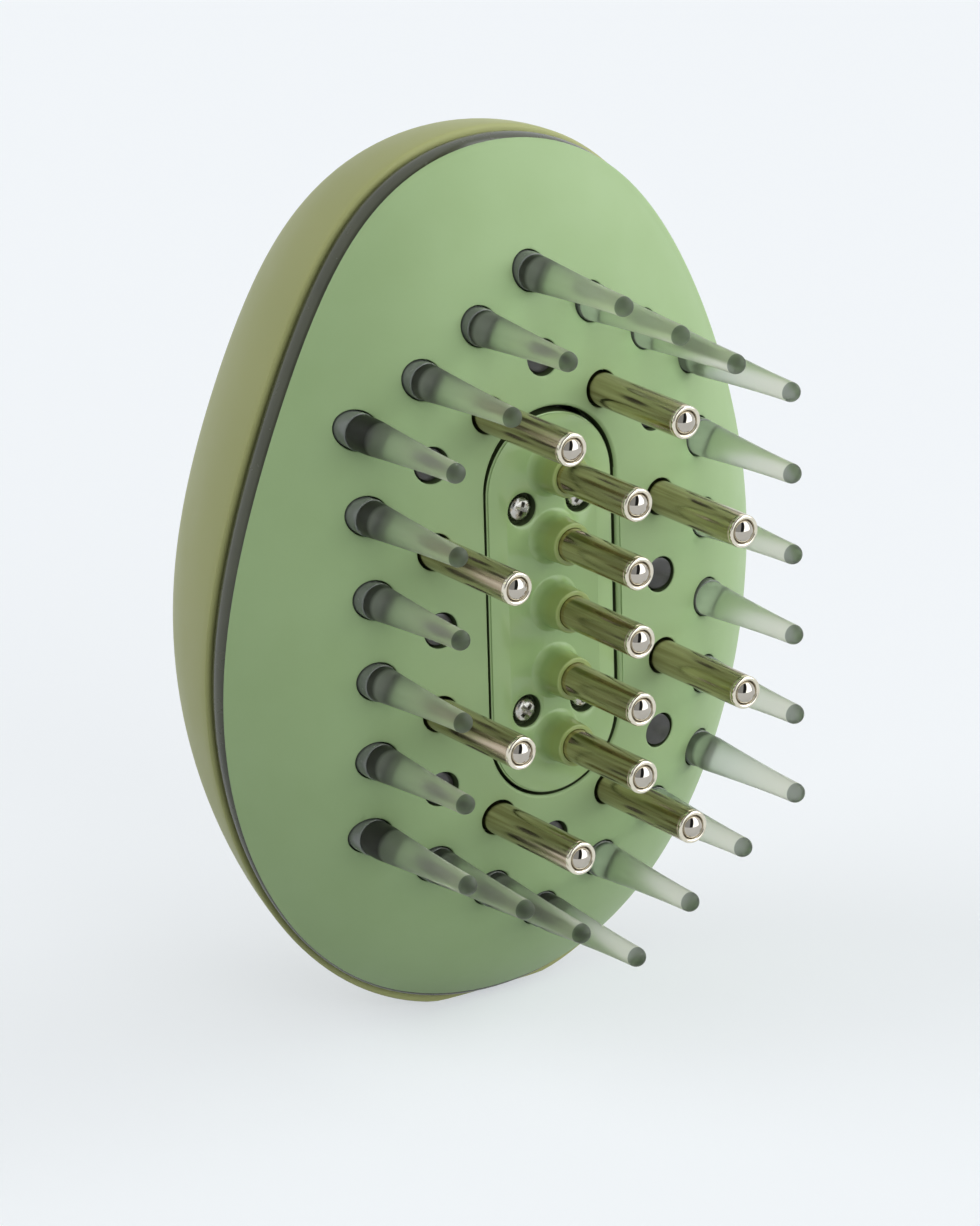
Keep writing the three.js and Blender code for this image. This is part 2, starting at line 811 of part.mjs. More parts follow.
const motorDepth = frameBack + seatGap + motorRadius;

// A round bar along the motor's axis, between two places on it
function alongX(radius, from, to) {
  const geometry = new THREE.CylinderGeometry(radius, radius, to - from, buttonSegments);
  geometry.rotateZ(Math.PI / 2);
  geometry.translate(motorShift + (from + to) / 2, motorDepth, motorHeight);
  return toSolid(geometry);
}

function motorCan() {
  const end = motorLength / 2;
  const can = alongX(motorRadius, -end, end);
  return cut(can, [alongX(motorShaftRadius + holeGap, end - cradleWall, end + overshoot)]);
}

function motorRotor() {
  const end = motorLength / 2;
  const shaft = alongX(motorShaftRadius, end - cradleWall + seatGap, end + weightGap + weightLength);
  const weight = alongX(weightRadius, end + weightGap, end + weightGap + weightLength);
  const upperHalf = box(
    [-bodyHalfWidth, bodyHalfWidth],
    [motorDepth - 2 * weightRadius, motorDepth + 2 * weightRadius],
    [motorHeight + motorShaftRadius / 2, motorHeight + 2 * weightRadius],
  );
  return join([shaft, cut(weight, [upperHalf])]);
}

function battery() {
  const from = frameBack + seatGap;
  return slab(
    roundedBox(batteryWidth, batteryHeight, batteryCorner, batteryMiddle),
    from,
    from + batteryThickness,
    cornerSegments,
  );
}

function mainBoard() {
  const half = mainBoardWidth / 2;
  const board = box([-half, half], [mainBoardDepth, mainBoardBack], [mainBoardBottom, mainBoardTop]);
  const chips = [
    [controlChipSize, controlChipMiddle],
    [chargeChipSize, chargeChipMiddle],
  ].map(([size, middle]) => box(
    [-size / 2, size / 2],
    [mainBoardDepth - chipThickness, mainBoardDepth + boardThickness / 2],
    [middle - size / 2, middle + size / 2],
  ));
  return cut(join([board, ...chips]), boardPostPlaces.map((place) =>
    bar(place, boardScrewRadius + holeGap, mainBoardDepth - overshoot, mainBoardBack + overshoot)));
}

function chargingSocket() {
  const from = mainBoardBack + seatGap;
  const to = domeAt(socketMiddle - socketHeight / 2) - socketSink;
  const [halfWidth, halfHeight] = [socketWidth / 2, socketHeight / 2];
  const outside = stadiumAcross(halfWidth, halfHeight, socketMiddle);
  const inside = stadiumAcross(halfWidth - socketWall, halfHeight - socketWall, socketMiddle);
  const mouth = slab(inside, to - socketMouthDepth, to + overshoot, socketSegments);
  return cut(slab(outside, from, to, socketSegments), [mouth]);
}

function tactSwitch() {
  const half = switchSize / 2;
  const from = mainBoardBack + seatGap;
  const to = mainBoardBack + switchHeight;
  const body = box([-half, half], [from, to], [domeTop - half, domeTop + half]);
  return join([body, bar([0, domeTop], plungerRadius, to - plungerHeight, to + plungerHeight)]);
}

function powerButton() {
  const flangeBack = buttonSeat - seatGap;
  const flangeFront = flangeBack - buttonFlangeThickness;
  const top = domeCrown + buttonProud;
  const edge = buttonProud;
  return turned([
    [0, stemEnd],
    [buttonStemRadius, stemEnd],
    [buttonStemRadius, flangeFront],
    [buttonRadius + buttonFlange, flangeFront],
    [buttonRadius + buttonFlange, flangeBack],
    [buttonRadius, flangeBack],
    [buttonRadius, top - edge],
    [buttonRadius - edge, top],
    [0, top],
  ], [0, domeTop], buttonSegments);
}

// A pan-head screw. Its head seats at the given depth and its shank runs the given way along Y.
function screw(place, seat, way, { radius, length, headRadius, headHeight }) {
  const shank = [seat - way * headHeight / 2, seat + way * length];
  const head = [seat - way * headHeight, seat];
  return join([
    bar(place, radius, Math.min(...shank), Math.max(...shank), screwSegments),
    bar(place, headRadius, Math.min(...head), Math.max(...head), screwSegments),
  ]);
}

const plateScrew = {
  radius: plateScrewRadius,
  length: plateScrewLength,
  headRadius: plateScrewHeadRadius,
  headHeight: plateScrewHeadHeight,
};

const frameScrew = {
  radius: frameScrewRadius,
  length: frameScrewLength,
  headRadius: frameScrewHeadRadius,
  headHeight: frameScrewHeadHeight,
};

const boardScrew = {
  radius: boardScrewRadius,
  length: boardScrewLength,
  headRadius: boardScrewHeadRadius,
  headHeight: boardScrewHeadHeight,
};

// Materials

function material(color, roughness, metalness = 0) {
  return new THREE.MeshStandardMaterial({ color, roughness, metalness });
}

const sagePlastic = material('#93ab7f', 0.55);
const glossySagePlastic = material('#8ba876', 0.25);
const olivePlastic = material('#9ba072', 0.5);
const smokedPlastic = material('#3c3d38', 0.12);
const clearPlastic = material('#b9c4b8', 0.2);
clearPlastic.transparent = true;
clearPlastic.opacity = 0.6;
const polishedMetal = material('#c8beb4', 0.12, 1);
const chromedSteel = material('#dcdcdc', 0.05, 1);
const screwSteel = material('#c4c4c0', 0.3, 1);
const boardLaminate = material('#1f4a33', 0.6);
const framePlastic = material('#3a3c3a', 0.7);
const batteryFoil = material('#8d929a', 0.4, 0.6);
const switchPlastic = material('#26282a', 0.5);

// The assembly

const massager = new THREE.Group();
massager.name = 'scalp_massager';

function add(name, shape, surface) {
  const geometry = shape.isBufferGeometry ? shape : toGeometry(shape);
  geometry.computeVertexNormals();
  const mesh = new THREE.Mesh(geometry, surface);
  mesh.name = name;
  massager.add(mesh);
}

add('front_cover', frontCover(), sagePlastic);
add('seam_band', seamBand(), smokedPlastic);
add('back_shell', backShell(), olivePlastic);
add('centre_plate', centrePlate(), glossySagePlastic);
centrePlaces.forEach((place, i) => {
  add(`centre_prong_${i + 1}`, prong(place, centreReach, centreCollarDepth), polishedMetal);
  add(`centre_ball_${i + 1}`, ball(place, centreReach), chromedSteel);
});
sideProngPlaces.forEach((place, i) => {
  add(`side_prong_${i + 1}`, prong(place, sideReach, sideCollarDepth), polishedMetal);
  add(`side_ball_${i + 1}`, ball(place, sideReach), chromedSteel);
});
for (const [name, guide] of Object.entries(lightGuides())) add(name, guide, clearPlastic);
add('led_board', ledBoard(), boardLaminate);
add('inner_frame', innerFrame(), framePlastic);
add('battery', battery(), batteryFoil);
add('motor', motorCan(), screwSteel);
add('motor_rotor', motorRotor(), polishedMetal);
add('main_board', mainBoard(), boardLaminate);
add('charging_socket', chargingSocket(), chromedSteel);
add('tact_switch', tactSwitch(), switchPlastic);
add('power_button', powerButton(), glossySagePlastic);
plateScrewPlaces.forEach((place, i) => {
  add(`plate_screw_${i + 1}`, screw(place, plateScrewSeat, 1, plateScrew), screwSteel);
});
coverPostPlaces.forEach((place, i) => {
  add(`frame_screw_${i + 1}`, screw(place, frameBack + seatGap, -1, frameScrew), screwSteel);
});
boardPostPlaces.forEach((place, i) => {
  add(`board_screw_${i + 1}`, screw(place, mainBoardDepth - seatGap, 1, boardScrew), screwSteel);
});

// The body stands on its foot, with the origin below the middle of its depth
const foremost = -centreReach - ballRadius;
const hindmost = domeCrown + buttonProud;
massager.position.set(0, -(foremost + hindmost) / 2, footHeight);

export default massager;
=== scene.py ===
"""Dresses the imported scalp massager: fine surfaces, materials, floor, light and camera.

Lengths are in millimetres unless a comment says otherwise.
"""
import math

import bmesh
import bpy
import numpy as np
from mathutils import Matrix, Vector


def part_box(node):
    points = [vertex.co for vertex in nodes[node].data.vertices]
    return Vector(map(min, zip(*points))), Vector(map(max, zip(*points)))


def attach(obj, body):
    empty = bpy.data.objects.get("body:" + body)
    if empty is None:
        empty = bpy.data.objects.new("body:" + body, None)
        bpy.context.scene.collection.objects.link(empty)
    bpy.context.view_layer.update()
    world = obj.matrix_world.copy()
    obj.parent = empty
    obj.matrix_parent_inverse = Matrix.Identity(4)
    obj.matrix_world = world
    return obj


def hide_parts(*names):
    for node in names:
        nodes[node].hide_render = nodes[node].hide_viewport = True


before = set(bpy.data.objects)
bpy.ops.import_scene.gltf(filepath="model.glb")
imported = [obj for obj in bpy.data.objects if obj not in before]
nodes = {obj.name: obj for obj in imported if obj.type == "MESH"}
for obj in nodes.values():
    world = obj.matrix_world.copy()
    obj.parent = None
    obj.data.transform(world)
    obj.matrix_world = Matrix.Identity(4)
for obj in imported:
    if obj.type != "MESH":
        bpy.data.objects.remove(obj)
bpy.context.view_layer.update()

MM = 0.001


def node_box(name):
    """Lowest corner, middle and highest corner of a CAD node, in millimetres."""
    low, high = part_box(name)
    low, high = np.array(low) / MM, np.array(high) / MM
    return low, (low + high) / 2, high


# The face frame: origin in the middle of the face, +X right, +Y to the back, +Z up

PLATE_RECESS = 0.1
PLATE_THICKNESS = 3.2

FACE_HEIGHT = node_box("centre_ball_3")[1][2]
FACE_DEPTH = node_box("centre_plate")[2][1] - PLATE_RECESS - PLATE_THICKNESS
FOOT = -FACE_HEIGHT


def to_world(points):
    """Points of the face frame, in millimetres, as metres of the row frame."""
    return (np.asarray(points, float) + (0, FACE_DEPTH, FACE_HEIGHT)) * MM


def place_of(name):
    """Where a node stands on the face, as (x, z)."""
    middle = node_box(name)[1]
    return middle[0], middle[2] - FACE_HEIGHT


# Sizes, as in the solids

HALF_WIDTH = 38.2
HALF_HEIGHT = 54.7
MIDDLE = -0.3
TAPER = (-0.133, -0.051, 0.068, 0.176)
SEAM_DEPTH = 12.7
SEAM_LEAN = 5.4
SEAM_WAVE = 4.2
GROOVE = 3.4
FLATNESS = 3.9
DOME_DEPTH = 35.6
DOME_LIFT = 6.3
DOME_ROUNDNESS = 2.1
COVER_WALL = 1.8
RIM_INSET = 0.5
SHELL_WALL = 2.2
GROOVE_NARROWING = 2.4  # how much the groove narrows towards the lower end
NARROWING_ONSET = 0.15  # how softly that starts below the middle
RIM_RISE = 1.5  # how much higher the cover's rim lies at the lower end, to bare the shell's lip
BAND_RISE = 1.1  # the same for the band
LOWER_LIP = 1.2  # how much lower the shell's front edge reaches at the lower end
FOOT_BLEND = 0.15  # how softly the round body runs into its flat foot

COLUMN_PITCH = 7.9
ROW_PITCH = 10.0
PIN_REACH = 15.1
PIN_TIP = 1.2
PIN_ROOT = 2.15
PIN_ROOT_DEPTH = 1.5
PIN_FLARE = 1.35
GUIDE_DEPTH = 9.5
COLLAR_END = 0.75  # how far the smoky collar at a pin's root stands out of the face
COLLAR_SPREAD = 0.1  # its step out from the pin's root
COLLAR_EDGE = 0.15  # radius of its rounded edge
CORE_RADIUS = 2.08
CORE_DOME = 0.12  # how far its domed end stands out
CORE_SINK = 0.05  # how far the core's end lies behind the collar's front
SMOKY_END = 1.3  # depth at which the smoky root gives way to the frosted stem, in the middle
SMOKY_BLEND = 0.35  # half the length of the change
ROOT_SHADE_SLANT = 0.048  # how much further back that depth lies per millimetre to the right: painted shade of the hole seen through the pins, reaching further out on the left
WINDOW_RADIUS = 2.0
WINDOW_RECESS = 0.5

PRONG_RADIUS = 2.0
PRONG_BORE = 1.1
BALL_RADIUS = 1.5
BALL_SHOW = 0.65
BALL_CLEARANCE = 0.15
RIM_ROLL = 0.3  # radius of the rim's inner roll
COLLAR_RADIUS = 2.7
COLLAR_THICKNESS = 0.8

OPENING_HALF_WIDTH = 9.3
OPENING_HALF_HEIGHT = 24.1
PLATE_GAP = 0.35
PLATE_END_GAP = 0.5
PLATE_DROP = 0.15
BOSS_FOOT = 3.1
BOSS_TOP = 2.6
BOSS_HEIGHT = 4.1

BUTTON_RADIUS = 7.0
SOCKET_WIDTH = 9.0
SOCKET_HEIGHT = 3.3
SOCKET_MIDDLE = -17.5
HOLE_GAP = 0.2
PIN_HOLE_GAP = 0.25

AROUND = 180  # points in a ring of the body
HALVINGS = 40  # steps of the search for a surface's depth at a place
CUT_PAST = 0.004  # how far a cutter's rounded edge passes the surface, so that no sliver stays

pin_places = [
    (column * COLUMN_PITCH, row * ROW_PITCH)
    for column, row in (
        [(side * 3, row) for side in (-1, 1) for row in (-2.5, -1.5, -0.5, 0.5, 1.5, 2.5)]
        + [(side * 2, row) for side in (-1, 1) for row in (-3, 3)]
        + [(side, row) for side in (-1, 1) for row in (-3.5, 3.5)]
        + [(0, -4), (0, 4)]
    )
]
window_places = [
    (column * COLUMN_PITCH, row * ROW_PITCH)
    for column, row in [(side * 2, row) for side in (-1, 1) for row in (-2, 0, 2)]
    + [(0, -3), (0, 3)]
]
side_places = [place_of(f"side_ball_{i}") for i in range(1, 9)]
centre_places = [place_of(f"centre_ball_{i}") for i in range(1, 6)]
plate_screw_places = [place_of(f"plate_screw_{i}") for i in range(1, 5)]


# Body surfaces, as in the solids


def outline(angle, inset=0.0):
    """The body's egg-shaped outline at an angle, as (x, z) from its middle."""
    s = np.sin(angle)
    widening = 1 + sum(share * s ** (i + 1) for i, share in enumerate(TAPER))
    return (HALF_WIDTH - inset) * np.cos(angle) * widening, (HALF_HEIGHT - inset) * s


def seam_at(z):
    """Depth of the leaning, curving seam at a height."""
    u = z / HALF_HEIGHT
    return SEAM_DEPTH - SEAM_LEAN * u + SEAM_WAVE * u**3


def angles():
    return np.arange(AROUND) * 2 * math.pi / AROUND


def cover_ring(share, inset=0.0, start=0.0, sink=0.0):
    """Ring of the cover's crowned surface: share 0 is its middle and 1 its rim."""
    x, z = outline(angles(), RIM_INSET + inset)
    height = MIDDLE + share * z
    depth = start + (seam_at(height) - start) * share**FLATNESS + sink
    rise = RIM_RISE * np.maximum(-height / HALF_HEIGHT, 0) ** 3 * share**8
    return np.column_stack((share * x, depth, height + rise))


def dome_ring(depth, inset=0.0):
    """Ring of the dome's surface, at a depth behind the seam."""
    rise = min(depth / (DOME_DEPTH - inset), 1.0)
    share = (1 - rise**2) ** (1 / DOME_ROUNDNESS)
    x, z = outline(angles(), inset)
    height = MIDDLE + share * z
    lower = np.maximum(-height / HALF_HEIGHT, 0)
    behind = min(depth / GROOVE, 1.0) * (1 - rise)
    forward = GROOVE_NARROWING * lower**2 / (lower + NARROWING_ONSET) * behind
    drop = LOWER_LIP * lower**3 * behind * (1 - rise) ** 3
    return np.column_stack((
        share * x, seam_at(height) + depth - forward, height + DOME_LIFT * rise - drop
    ))


def face_at(x, z):
    """Depth of the cover's outer surface at places on the face."""
    x, z = np.broadcast_arrays(np.asarray(x, float), np.asarray(z, float))
    low, high = np.full(x.shape, 1e-6), np.ones(x.shape)
    for _ in range(HALVINGS):
        share = (low + high) / 2
        reach = share * (HALF_HEIGHT - RIM_INSET)
        s = np.clip((z - MIDDLE) / reach, -1, 1)
        within = np.abs(z - MIDDLE) < reach
        inside = within & (np.abs(x) < share * outline(np.arcsin(s), RIM_INSET)[0])
        high = np.where(inside, share, high)
        low = np.where(inside, low, share)
    return seam_at(z) * high**FLATNESS


def dome_at(x, z):
    """Depth of the shell's outer surface at places on the back."""
    x, z = np.broadcast_arrays(np.asarray(x, float), np.asarray(z, float))
    low, high = np.zeros(x.shape), np.ones(x.shape)
    for _ in range(HALVINGS):
        rise = (low + high) / 2
        share = (1 - rise**2) ** (1 / DOME_ROUNDNESS)
        height = z - MIDDLE - DOME_LIFT * rise
        s = np.clip(height / (share * HALF_HEIGHT), -1, 1)
        within = np.abs(height) < share * HALF_HEIGHT
        inside = within & (np.abs(x) < share * outline(np.arcsin(s))[0])
        low = np.where(inside, rise, low)
        high = np.where(inside, high, rise)
    return seam_at(z - DOME_LIFT * low) + DOME_DEPTH * low


def on_foot(rings):
    """The rings with what lies below the flat foot raised to it, softly."""
    raised = []
    for ring in rings:
        above = ring[:, 2] - FOOT
        height = (above + np.sqrt(above**2 + FOOT_BLEND**2)) / 2
        raised.append(np.column_stack((ring[:, 0], ring[:, 1], FOOT + height)))
    return raised


# Meshes


def loft(rings, ends=None):
    """Points and faces through rings of equal count. With ends, each is a fan's point."""
    count = len(rings[0])
    joined = len(rings) - 1 if ends is not None else len(rings)
    faces = []
    for ring in range(joined):
        here, there = ring * count, ((ring + 1) % len(rings)) * count
        for i in range(count):
            j = (i + 1) % count
            faces.append((here + i, here + j, there + j, there + i))
    if ends is None:
        return np.vstack(rings), faces
    first = len(rings) * count
    top = first - count
    for i in range(count):
        j = (i + 1) % count
        faces.append((first, j, i))
        faces.append((first + 1, top + i, top + j))
    return np.vstack([*rings, np.array(ends, float)]), faces


def depth_at(depth, x, z):
    """Depths at points of the face, from a number or a function of (x, z)."""
    return depth(x, z) if callable(depth) else np.full(len(x), float(depth))


def circle(place, radius, depth, segments=48):
    """Ring about Y. The depth is a number or a function of (x, z)."""
    turn = np.arange(segments) * 2 * math.pi / segments
    x, z = place[0] + radius * np.cos(turn), place[1] + radius * np.sin(turn)
    return np.column_stack((x, depth_at(depth, x, z), z))


def turned(profile, place=(0.0, 0.0), segments=48):
    """Solid of revolution about Y from (radius, depth) pairs.

    The profile either starts and ends on the axis or closes on itself.
    """
    if profile[0][0] > 0:
        return loft([circle(place, r, depth, segments) for r, depth in profile])
    rings = [circle(place, r, depth, segments) for r, depth in profile[1:-1]]
    x, z = place
    return loft(rings, [(x, profile[0][1], z), (x, profile[-1][1], z)])


def stadium_ring(half_width, half_height, depth, middle=0.0, per_arc=40):
    """Upright ring with round ends about Y. The depth is as for a circle."""
    arc = np.linspace(0, math.pi, per_arc)
    turn = np.concatenate([arc, np.linspace(math.pi, 2 * math.pi, per_arc)])
    straight = half_height - half_width
    lift = np.where(np.arange(2 * per_arc) < per_arc, straight, -straight)
    x = half_width * np.cos(turn)
    z = middle + half_width * np.sin(turn) + lift
    return np.column_stack((x, depth_at(depth, x, z), z))


def merge(shapes):
    """Several shapes as one."""
    points, faces, count = [], [], 0
    for shape_points, shape_faces in shapes:
        points.append(shape_points)
        faces.extend(tuple(i + count for i in face) for face in shape_faces)
        count += len(shape_points)
    return np.vstack(points), faces


def rounded(radius, depth, edge, count, side=1):
    """Quarter round of a profile, from its radius to its end at a depth.

    It lies behind that depth, or in front of it where side is -1.
    """
    return [
        (radius - edge + edge * math.cos(t), depth + side * (edge - edge * math.sin(t)))
        for t in np.linspace(0, math.pi / 2, count)
    ]


def smooth(mesh, sharp=35.0):
    """Smooth shading, with edges sharp from an angle in degrees."""
    mesh.shade_smooth()
    mesh.set_sharp_from_angle(angle=math.radians(sharp))


def face_out(mesh):
    """Turns all faces of closed bodies outwards."""
    bm = bmesh.new()
    bm.from_mesh(mesh)
    bmesh.ops.recalc_face_normals(bm, faces=bm.faces)
    bm.to_mesh(mesh)
    bm.free()


def add_object(name, data):
    """An object in the scene that holds a mesh, camera or light."""
    added = bpy.data.objects.new(name, data)
    bpy.context.scene.collection.objects.link(added)
    return added


def make(name, shape, *surfaces):
    """A smooth mesh object from points and faces in the face frame."""
    points, faces = shape
    mesh = bpy.data.meshes.new(name)
    mesh.from_pydata([tuple(p) for p in to_world(points)], [], faces)
    for surface in surfaces:
        mesh.materials.append(surface)
    face_out(mesh)
    smooth(mesh)
    return add_object(name, mesh)


def apply_modifiers(piece):
    """Makes what a piece's modifiers give its mesh."""
    graph = bpy.context.evaluated_depsgraph_get()
    mesh = bpy.data.meshes.new_from_object(piece.evaluated_get(graph))
    piece.modifiers.clear()
    piece.data = mesh


def carve(piece, cutter_shape):
    """Cuts a shape of one or more closed bodies out of a piece."""
    cutter = make(f"{piece.name}_cutter", cutter_shape)
    cut = piece.modifiers.new("cut", "BOOLEAN")
    cut.operation = "DIFFERENCE"
    cut.solver = "EXACT"
    cut.object = cutter
    apply_modifiers(piece)
    bpy.data.objects.remove(cutter)
    smooth(piece.data)


def paint_gap_shade(piece, surface, is_deep):
    """Paints shade: gives a darker surface to the faces of a piece whose middles pass a test in the
    face frame.
    """
    mesh = piece.data
    mesh.materials.append(surface)
    middles = np.empty(3 * len(mesh.polygons))
    mesh.polygons.foreach_get("center", middles)
    deep = is_deep(middles.reshape(-1, 3) / MM - (0, FACE_DEPTH, FACE_HEIGHT))
    mesh.polygons.foreach_set("material_index", np.where(deep, 1, 0).astype(np.int32))


def near(points, places, radius):
    """Which points lie within a radius of any of the places on the face."""
    away = [np.hypot(points[:, 0] - x, points[:, 2] - z) for x, z in places]
    return np.any([distance < radius for distance in away], axis=0)


def dress(piece, body, slot, *replaced):
    """Lets a piece ride on a body and stand for CAD nodes."""
    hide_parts(*replaced)
    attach(piece, body)


# Materials

NOISE_LOW, NOISE_HIGH = 0.3, 0.7  # the range that noise mostly stays in


def add_node(tree, kind, **values):
    """A shader node, with values for its sockets or its own settings."""
    node = tree.nodes.new(kind)
    for key, value in values.items():
        if key in node.inputs:
            node.inputs[key].default_value = value
        else:
            setattr(node, key, value)
    return node


class Surface:
    """A Principled material with helpers for its procedural parts."""

    def __init__(self, name, color, roughness, **inputs):
        self.material = bpy.data.materials.new(name)
        self.material.use_nodes = True
        self.tree = self.material.node_tree
        self.shader = self.tree.nodes["Principled BSDF"]
        self.set("Base Color", (*color, 1))
        self.set("Roughness", roughness)
        for key, value in inputs.items():
            self.set(key.replace("_", " ").title().replace("Ior", "IOR"), value)
        self.normal = None

    def set(self, socket, value):
        self.shader.inputs[socket].default_value = value

    def node(self, kind, **values):
        return add_node(self.tree, kind, **values)

    def position(self):
        """The three outputs of a place in object space."""
        place, split = self.node("ShaderNodeTexCoord"), self.node("ShaderNodeSeparateXYZ")
        self.link(place.outputs["Object"], split.inputs["Vector"])
        return split.outputs

    def link(self, source, target):
        self.tree.links.new(source, target)

    def noise(self, scale, detail=2.0, stretch=(1, 1, 1)):
        """Noise in millimetres of object space: scale is the size of its features."""
        place = self.node("ShaderNodeTexCoord")
        mapping = self.node("ShaderNodeMapping")
        mapping.inputs["Scale"].default_value = [s / (scale * MM) for s in stretch]
        noise = self.node("ShaderNodeTexNoise", Scale=1.0, Detail=detail)
        self.link(place.outputs["Object"], mapping.inputs["Vector"])
        self.link(mapping.outputs["Vector"], noise.inputs["Vector"])
        return noise.outputs["Fac"]

    def mottle(self, first, second, scale, detail=2.0, stretch=(1, 1, 1)):
        """Colour that wanders between two tones."""
        ramp = self.node("ShaderNodeValToRGB")
        ramp.color_ramp.elements[0].position = NOISE_LOW
        ramp.color_ramp.elements[1].position = NOISE_HIGH
        ramp.color_ramp.elements[0].color = (*first, 1)
        ramp.color_ramp.elements[1].color = (*second, 1)
        self.link(self.noise(scale, detail, stretch), ramp.inputs["Fac"])
        self.link(ramp.outputs["Color"], self.shader.inputs["Base Color"])

    def bands(self, stops):
        """Colour that changes with depth in the face frame, through (depth, tone) stops."""
        start, end = stops[0][0], stops[-1][0]
        spread = self.node("ShaderNodeMapRange", **{
            "From Min": (FACE_DEPTH + start) * MM, "From Max": (FACE_DEPTH + end) * MM,
        })
        ramp = self.node("ShaderNodeValToRGB")
        elements = ramp.color_ramp.elements
        for depth, _ in stops[1:-1]:
            elements.new((depth - start) / (end - start))
        for element, (_, color) in zip(elements, stops):
            element.color = (*color, 1)
        self.link(self.position()["Y"], spread.inputs["Value"])
        self.link(spread.outputs["Result"], ramp.inputs["Fac"])
        self.link(ramp.outputs["Color"], self.shader.inputs["Base Color"])
        return ramp.outputs["Color"]

    def darken_root(self, color, dark, end, blend, slant):
        """A dark part behind a depth that leans with x, over the colour of an output; the lean is
        painted shade.
        """
        position = self.position()
        lean = self.node("ShaderNodeMath", operation="MULTIPLY_ADD")
        lean.inputs[1].default_value = -slant
        share = self.node("ShaderNodeMapRange", **{
            "From Min": (FACE_DEPTH + end - blend) * MM,
            "From Max": (FACE_DEPTH + end + blend) * MM,
        })
        mix = self.node("ShaderNodeMix", data_type="RGBA")
        mix.inputs[7].default_value = (*dark, 1)
        self.link(position["X"], lean.inputs[0])
        self.link(position["Y"], lean.inputs[2])
        self.link(lean.outputs["Value"], share.inputs["Value"])
        self.link(share.outputs["Result"], mix.inputs[0])
        self.link(color, mix.inputs[6])
        self.link(mix.outputs[2], self.shader.inputs["Base Color"])

    def uneven_gloss(self, low, high, scale, stretch=(1, 1, 1)):
        """Roughness that wanders between two values."""
        spread = self.node("ShaderNodeMapRange", **{
            "From Min": NOISE_LOW, "From Max": NOISE_HIGH, "To Min": low, "To Max": high,
        })
        self.link(self.noise(scale, 3.0, stretch), spread.inputs["Value"])
        self.link(spread.outputs["Result"], self.shader.inputs["Roughness"])

    def grain(self, scale, height, detail=2.0, stretch=(1, 1, 1)):
        """Fine bumps: the size and height of the grain are in millimetres."""
        bump = self.node("ShaderNodeBump", Strength=1.0, Distance=height * MM)
        self.link(self.noise(scale, detail, stretch), bump.inputs["Height"])
        if self.normal is not None:
            self.link(self.normal, bump.inputs["Normal"])
        self.normal = bump.outputs["Normal"]
        self.link(self.normal, self.shader.inputs["Normal"])


def tone(red, green, blue):
    """An sRGB colour of 0 to 255 as linear values."""
    return tuple(
        v / 12.92 if v <= 0.04045 else ((v + 0.055) / 1.055) ** 2.4
        for v in (red / 255, green / 255, blue / 255)
    )


def mottled(
    name, color, roughness, tones, size, gloss, gloss_size, detail=2.0, grain=None, **inputs
):
    """A material whose colour wanders between two tones and whose gloss is uneven."""
    surface = Surface(name, tone(*color), roughness, **inputs)
    surface.mottle(tone(*tones[0]), tone(*tones[1]), size, detail)
    surface.uneven_gloss(*gloss, gloss_size)
    if grain:
        surface.grain(*grain)
    return surface.material


def boss_plastic_painted_reflection():
    """The plate's plastic, yellower towards the bosses' tops as a painted reflection of the metal
    tubes.
    """
    surface = Surface("boss_plastic_painted_reflection", tone(140, 172, 118), 0.2, specular_ior_level=0.5)
    # painted reflection: the tone turns yellower towards the bosses' tops, standing for the tubes
    # mirrored in them
    surface.bands([
        (PLATE_RECESS - 0.1, tone(153, 181, 124)), (PLATE_RECESS - 2.6, tone(150, 170, 101)),
    ])
    surface.uneven_gloss(0.16, 0.24, 4.0)
    return surface.material


def clear_plastic():
    """The pins' plastic: a smoky root that reaches further out on the left pins as painted shade, a
    frosted stem that pales outwards and a tip darkened as painted shade of its refraction.
    """
    surface = Surface(
        "clear_plastic", tone(226, 232, 220), 0.36, transmission_weight=0.9, ior=1.16
    )
    # painted shade: the tip is darkened for the dimming that refraction in its round end gives
    tip = tone(104, 110, 104)
    length = surface.bands([
        (PIN_ROOT_DEPTH, tone(200, 210, 194)), (-1.2, tone(212, 220, 207)),
        (-PIN_REACH / 2, tone(225, 229, 215)), (-PIN_REACH + 0.1, tone(230, 231, 217)),
        (-PIN_REACH, tip), (-PIN_REACH - PIN_TIP, tip),
    ])
    # painted shade: the dark root reaches further out on pins further left
    surface.darken_root(length, tone(84, 86, 80), SMOKY_END, SMOKY_BLEND, ROOT_SHADE_SLANT)
    surface.uneven_gloss(0.3, 0.42, 1.2, stretch=(1, 0.08, 1))
    return surface.material


def core_plastic(name, red, green, blue):
    """The plastic of the cores inside the pins' roots, made as a shaded and a lit copy: painted
    shade and painted light.
    """
    darker, lighter = ((red + d, green + d, blue + d) for d in (-6, 6))
    return mottled(
        name, (red, green, blue), 0.5, (darker, lighter), 0.8, (0.45, 0.55), 1.0,
        specular_ior_level=0.3,
    )


def tube_metal_painted_reflections():
    """Polished metal with fine streaks along the tube: grooves and uneven gloss, and colour streaks
    that are painted reflections of the surroundings.
    """
    surface = Surface("tube_metal_painted_reflections", tone(198, 180, 156), 0.17, metallic=1.0)
    # painted reflection: colour streaks along the tube stand for the surroundings mirrored in it
    surface.mottle(tone(166, 149, 125), tone(215, 198, 176), 0.5, 2.0, stretch=(1, 0.03, 1))
    surface.uneven_gloss(0.12, 0.24, 0.6, stretch=(1, 0.05, 1))
    surface.grain(0.3, 0.012, 1.0, stretch=(1, 0.03, 1))
    return surface.material


sage = mottled(
    "sage_plastic", (150, 176, 127), 0.5, ((148, 174, 125), (152, 178, 130)), 9.0,
    (0.46, 0.54), 5.0, detail=3.0, grain=(0.12, 0.004, 2.0), specular_ior_level=0.4,
)
glossy_sage = mottled(
    "glossy_sage_plastic", (154, 183, 127), 0.14, ((152, 181, 125), (157, 185, 130)), 7.0,
    (0.12, 0.2), 4.0, grain=(2.5, 0.02, 1.0), specular_ior_level=0.5,
)
boss_sage_painted_reflection = boss_plastic_painted_reflection()
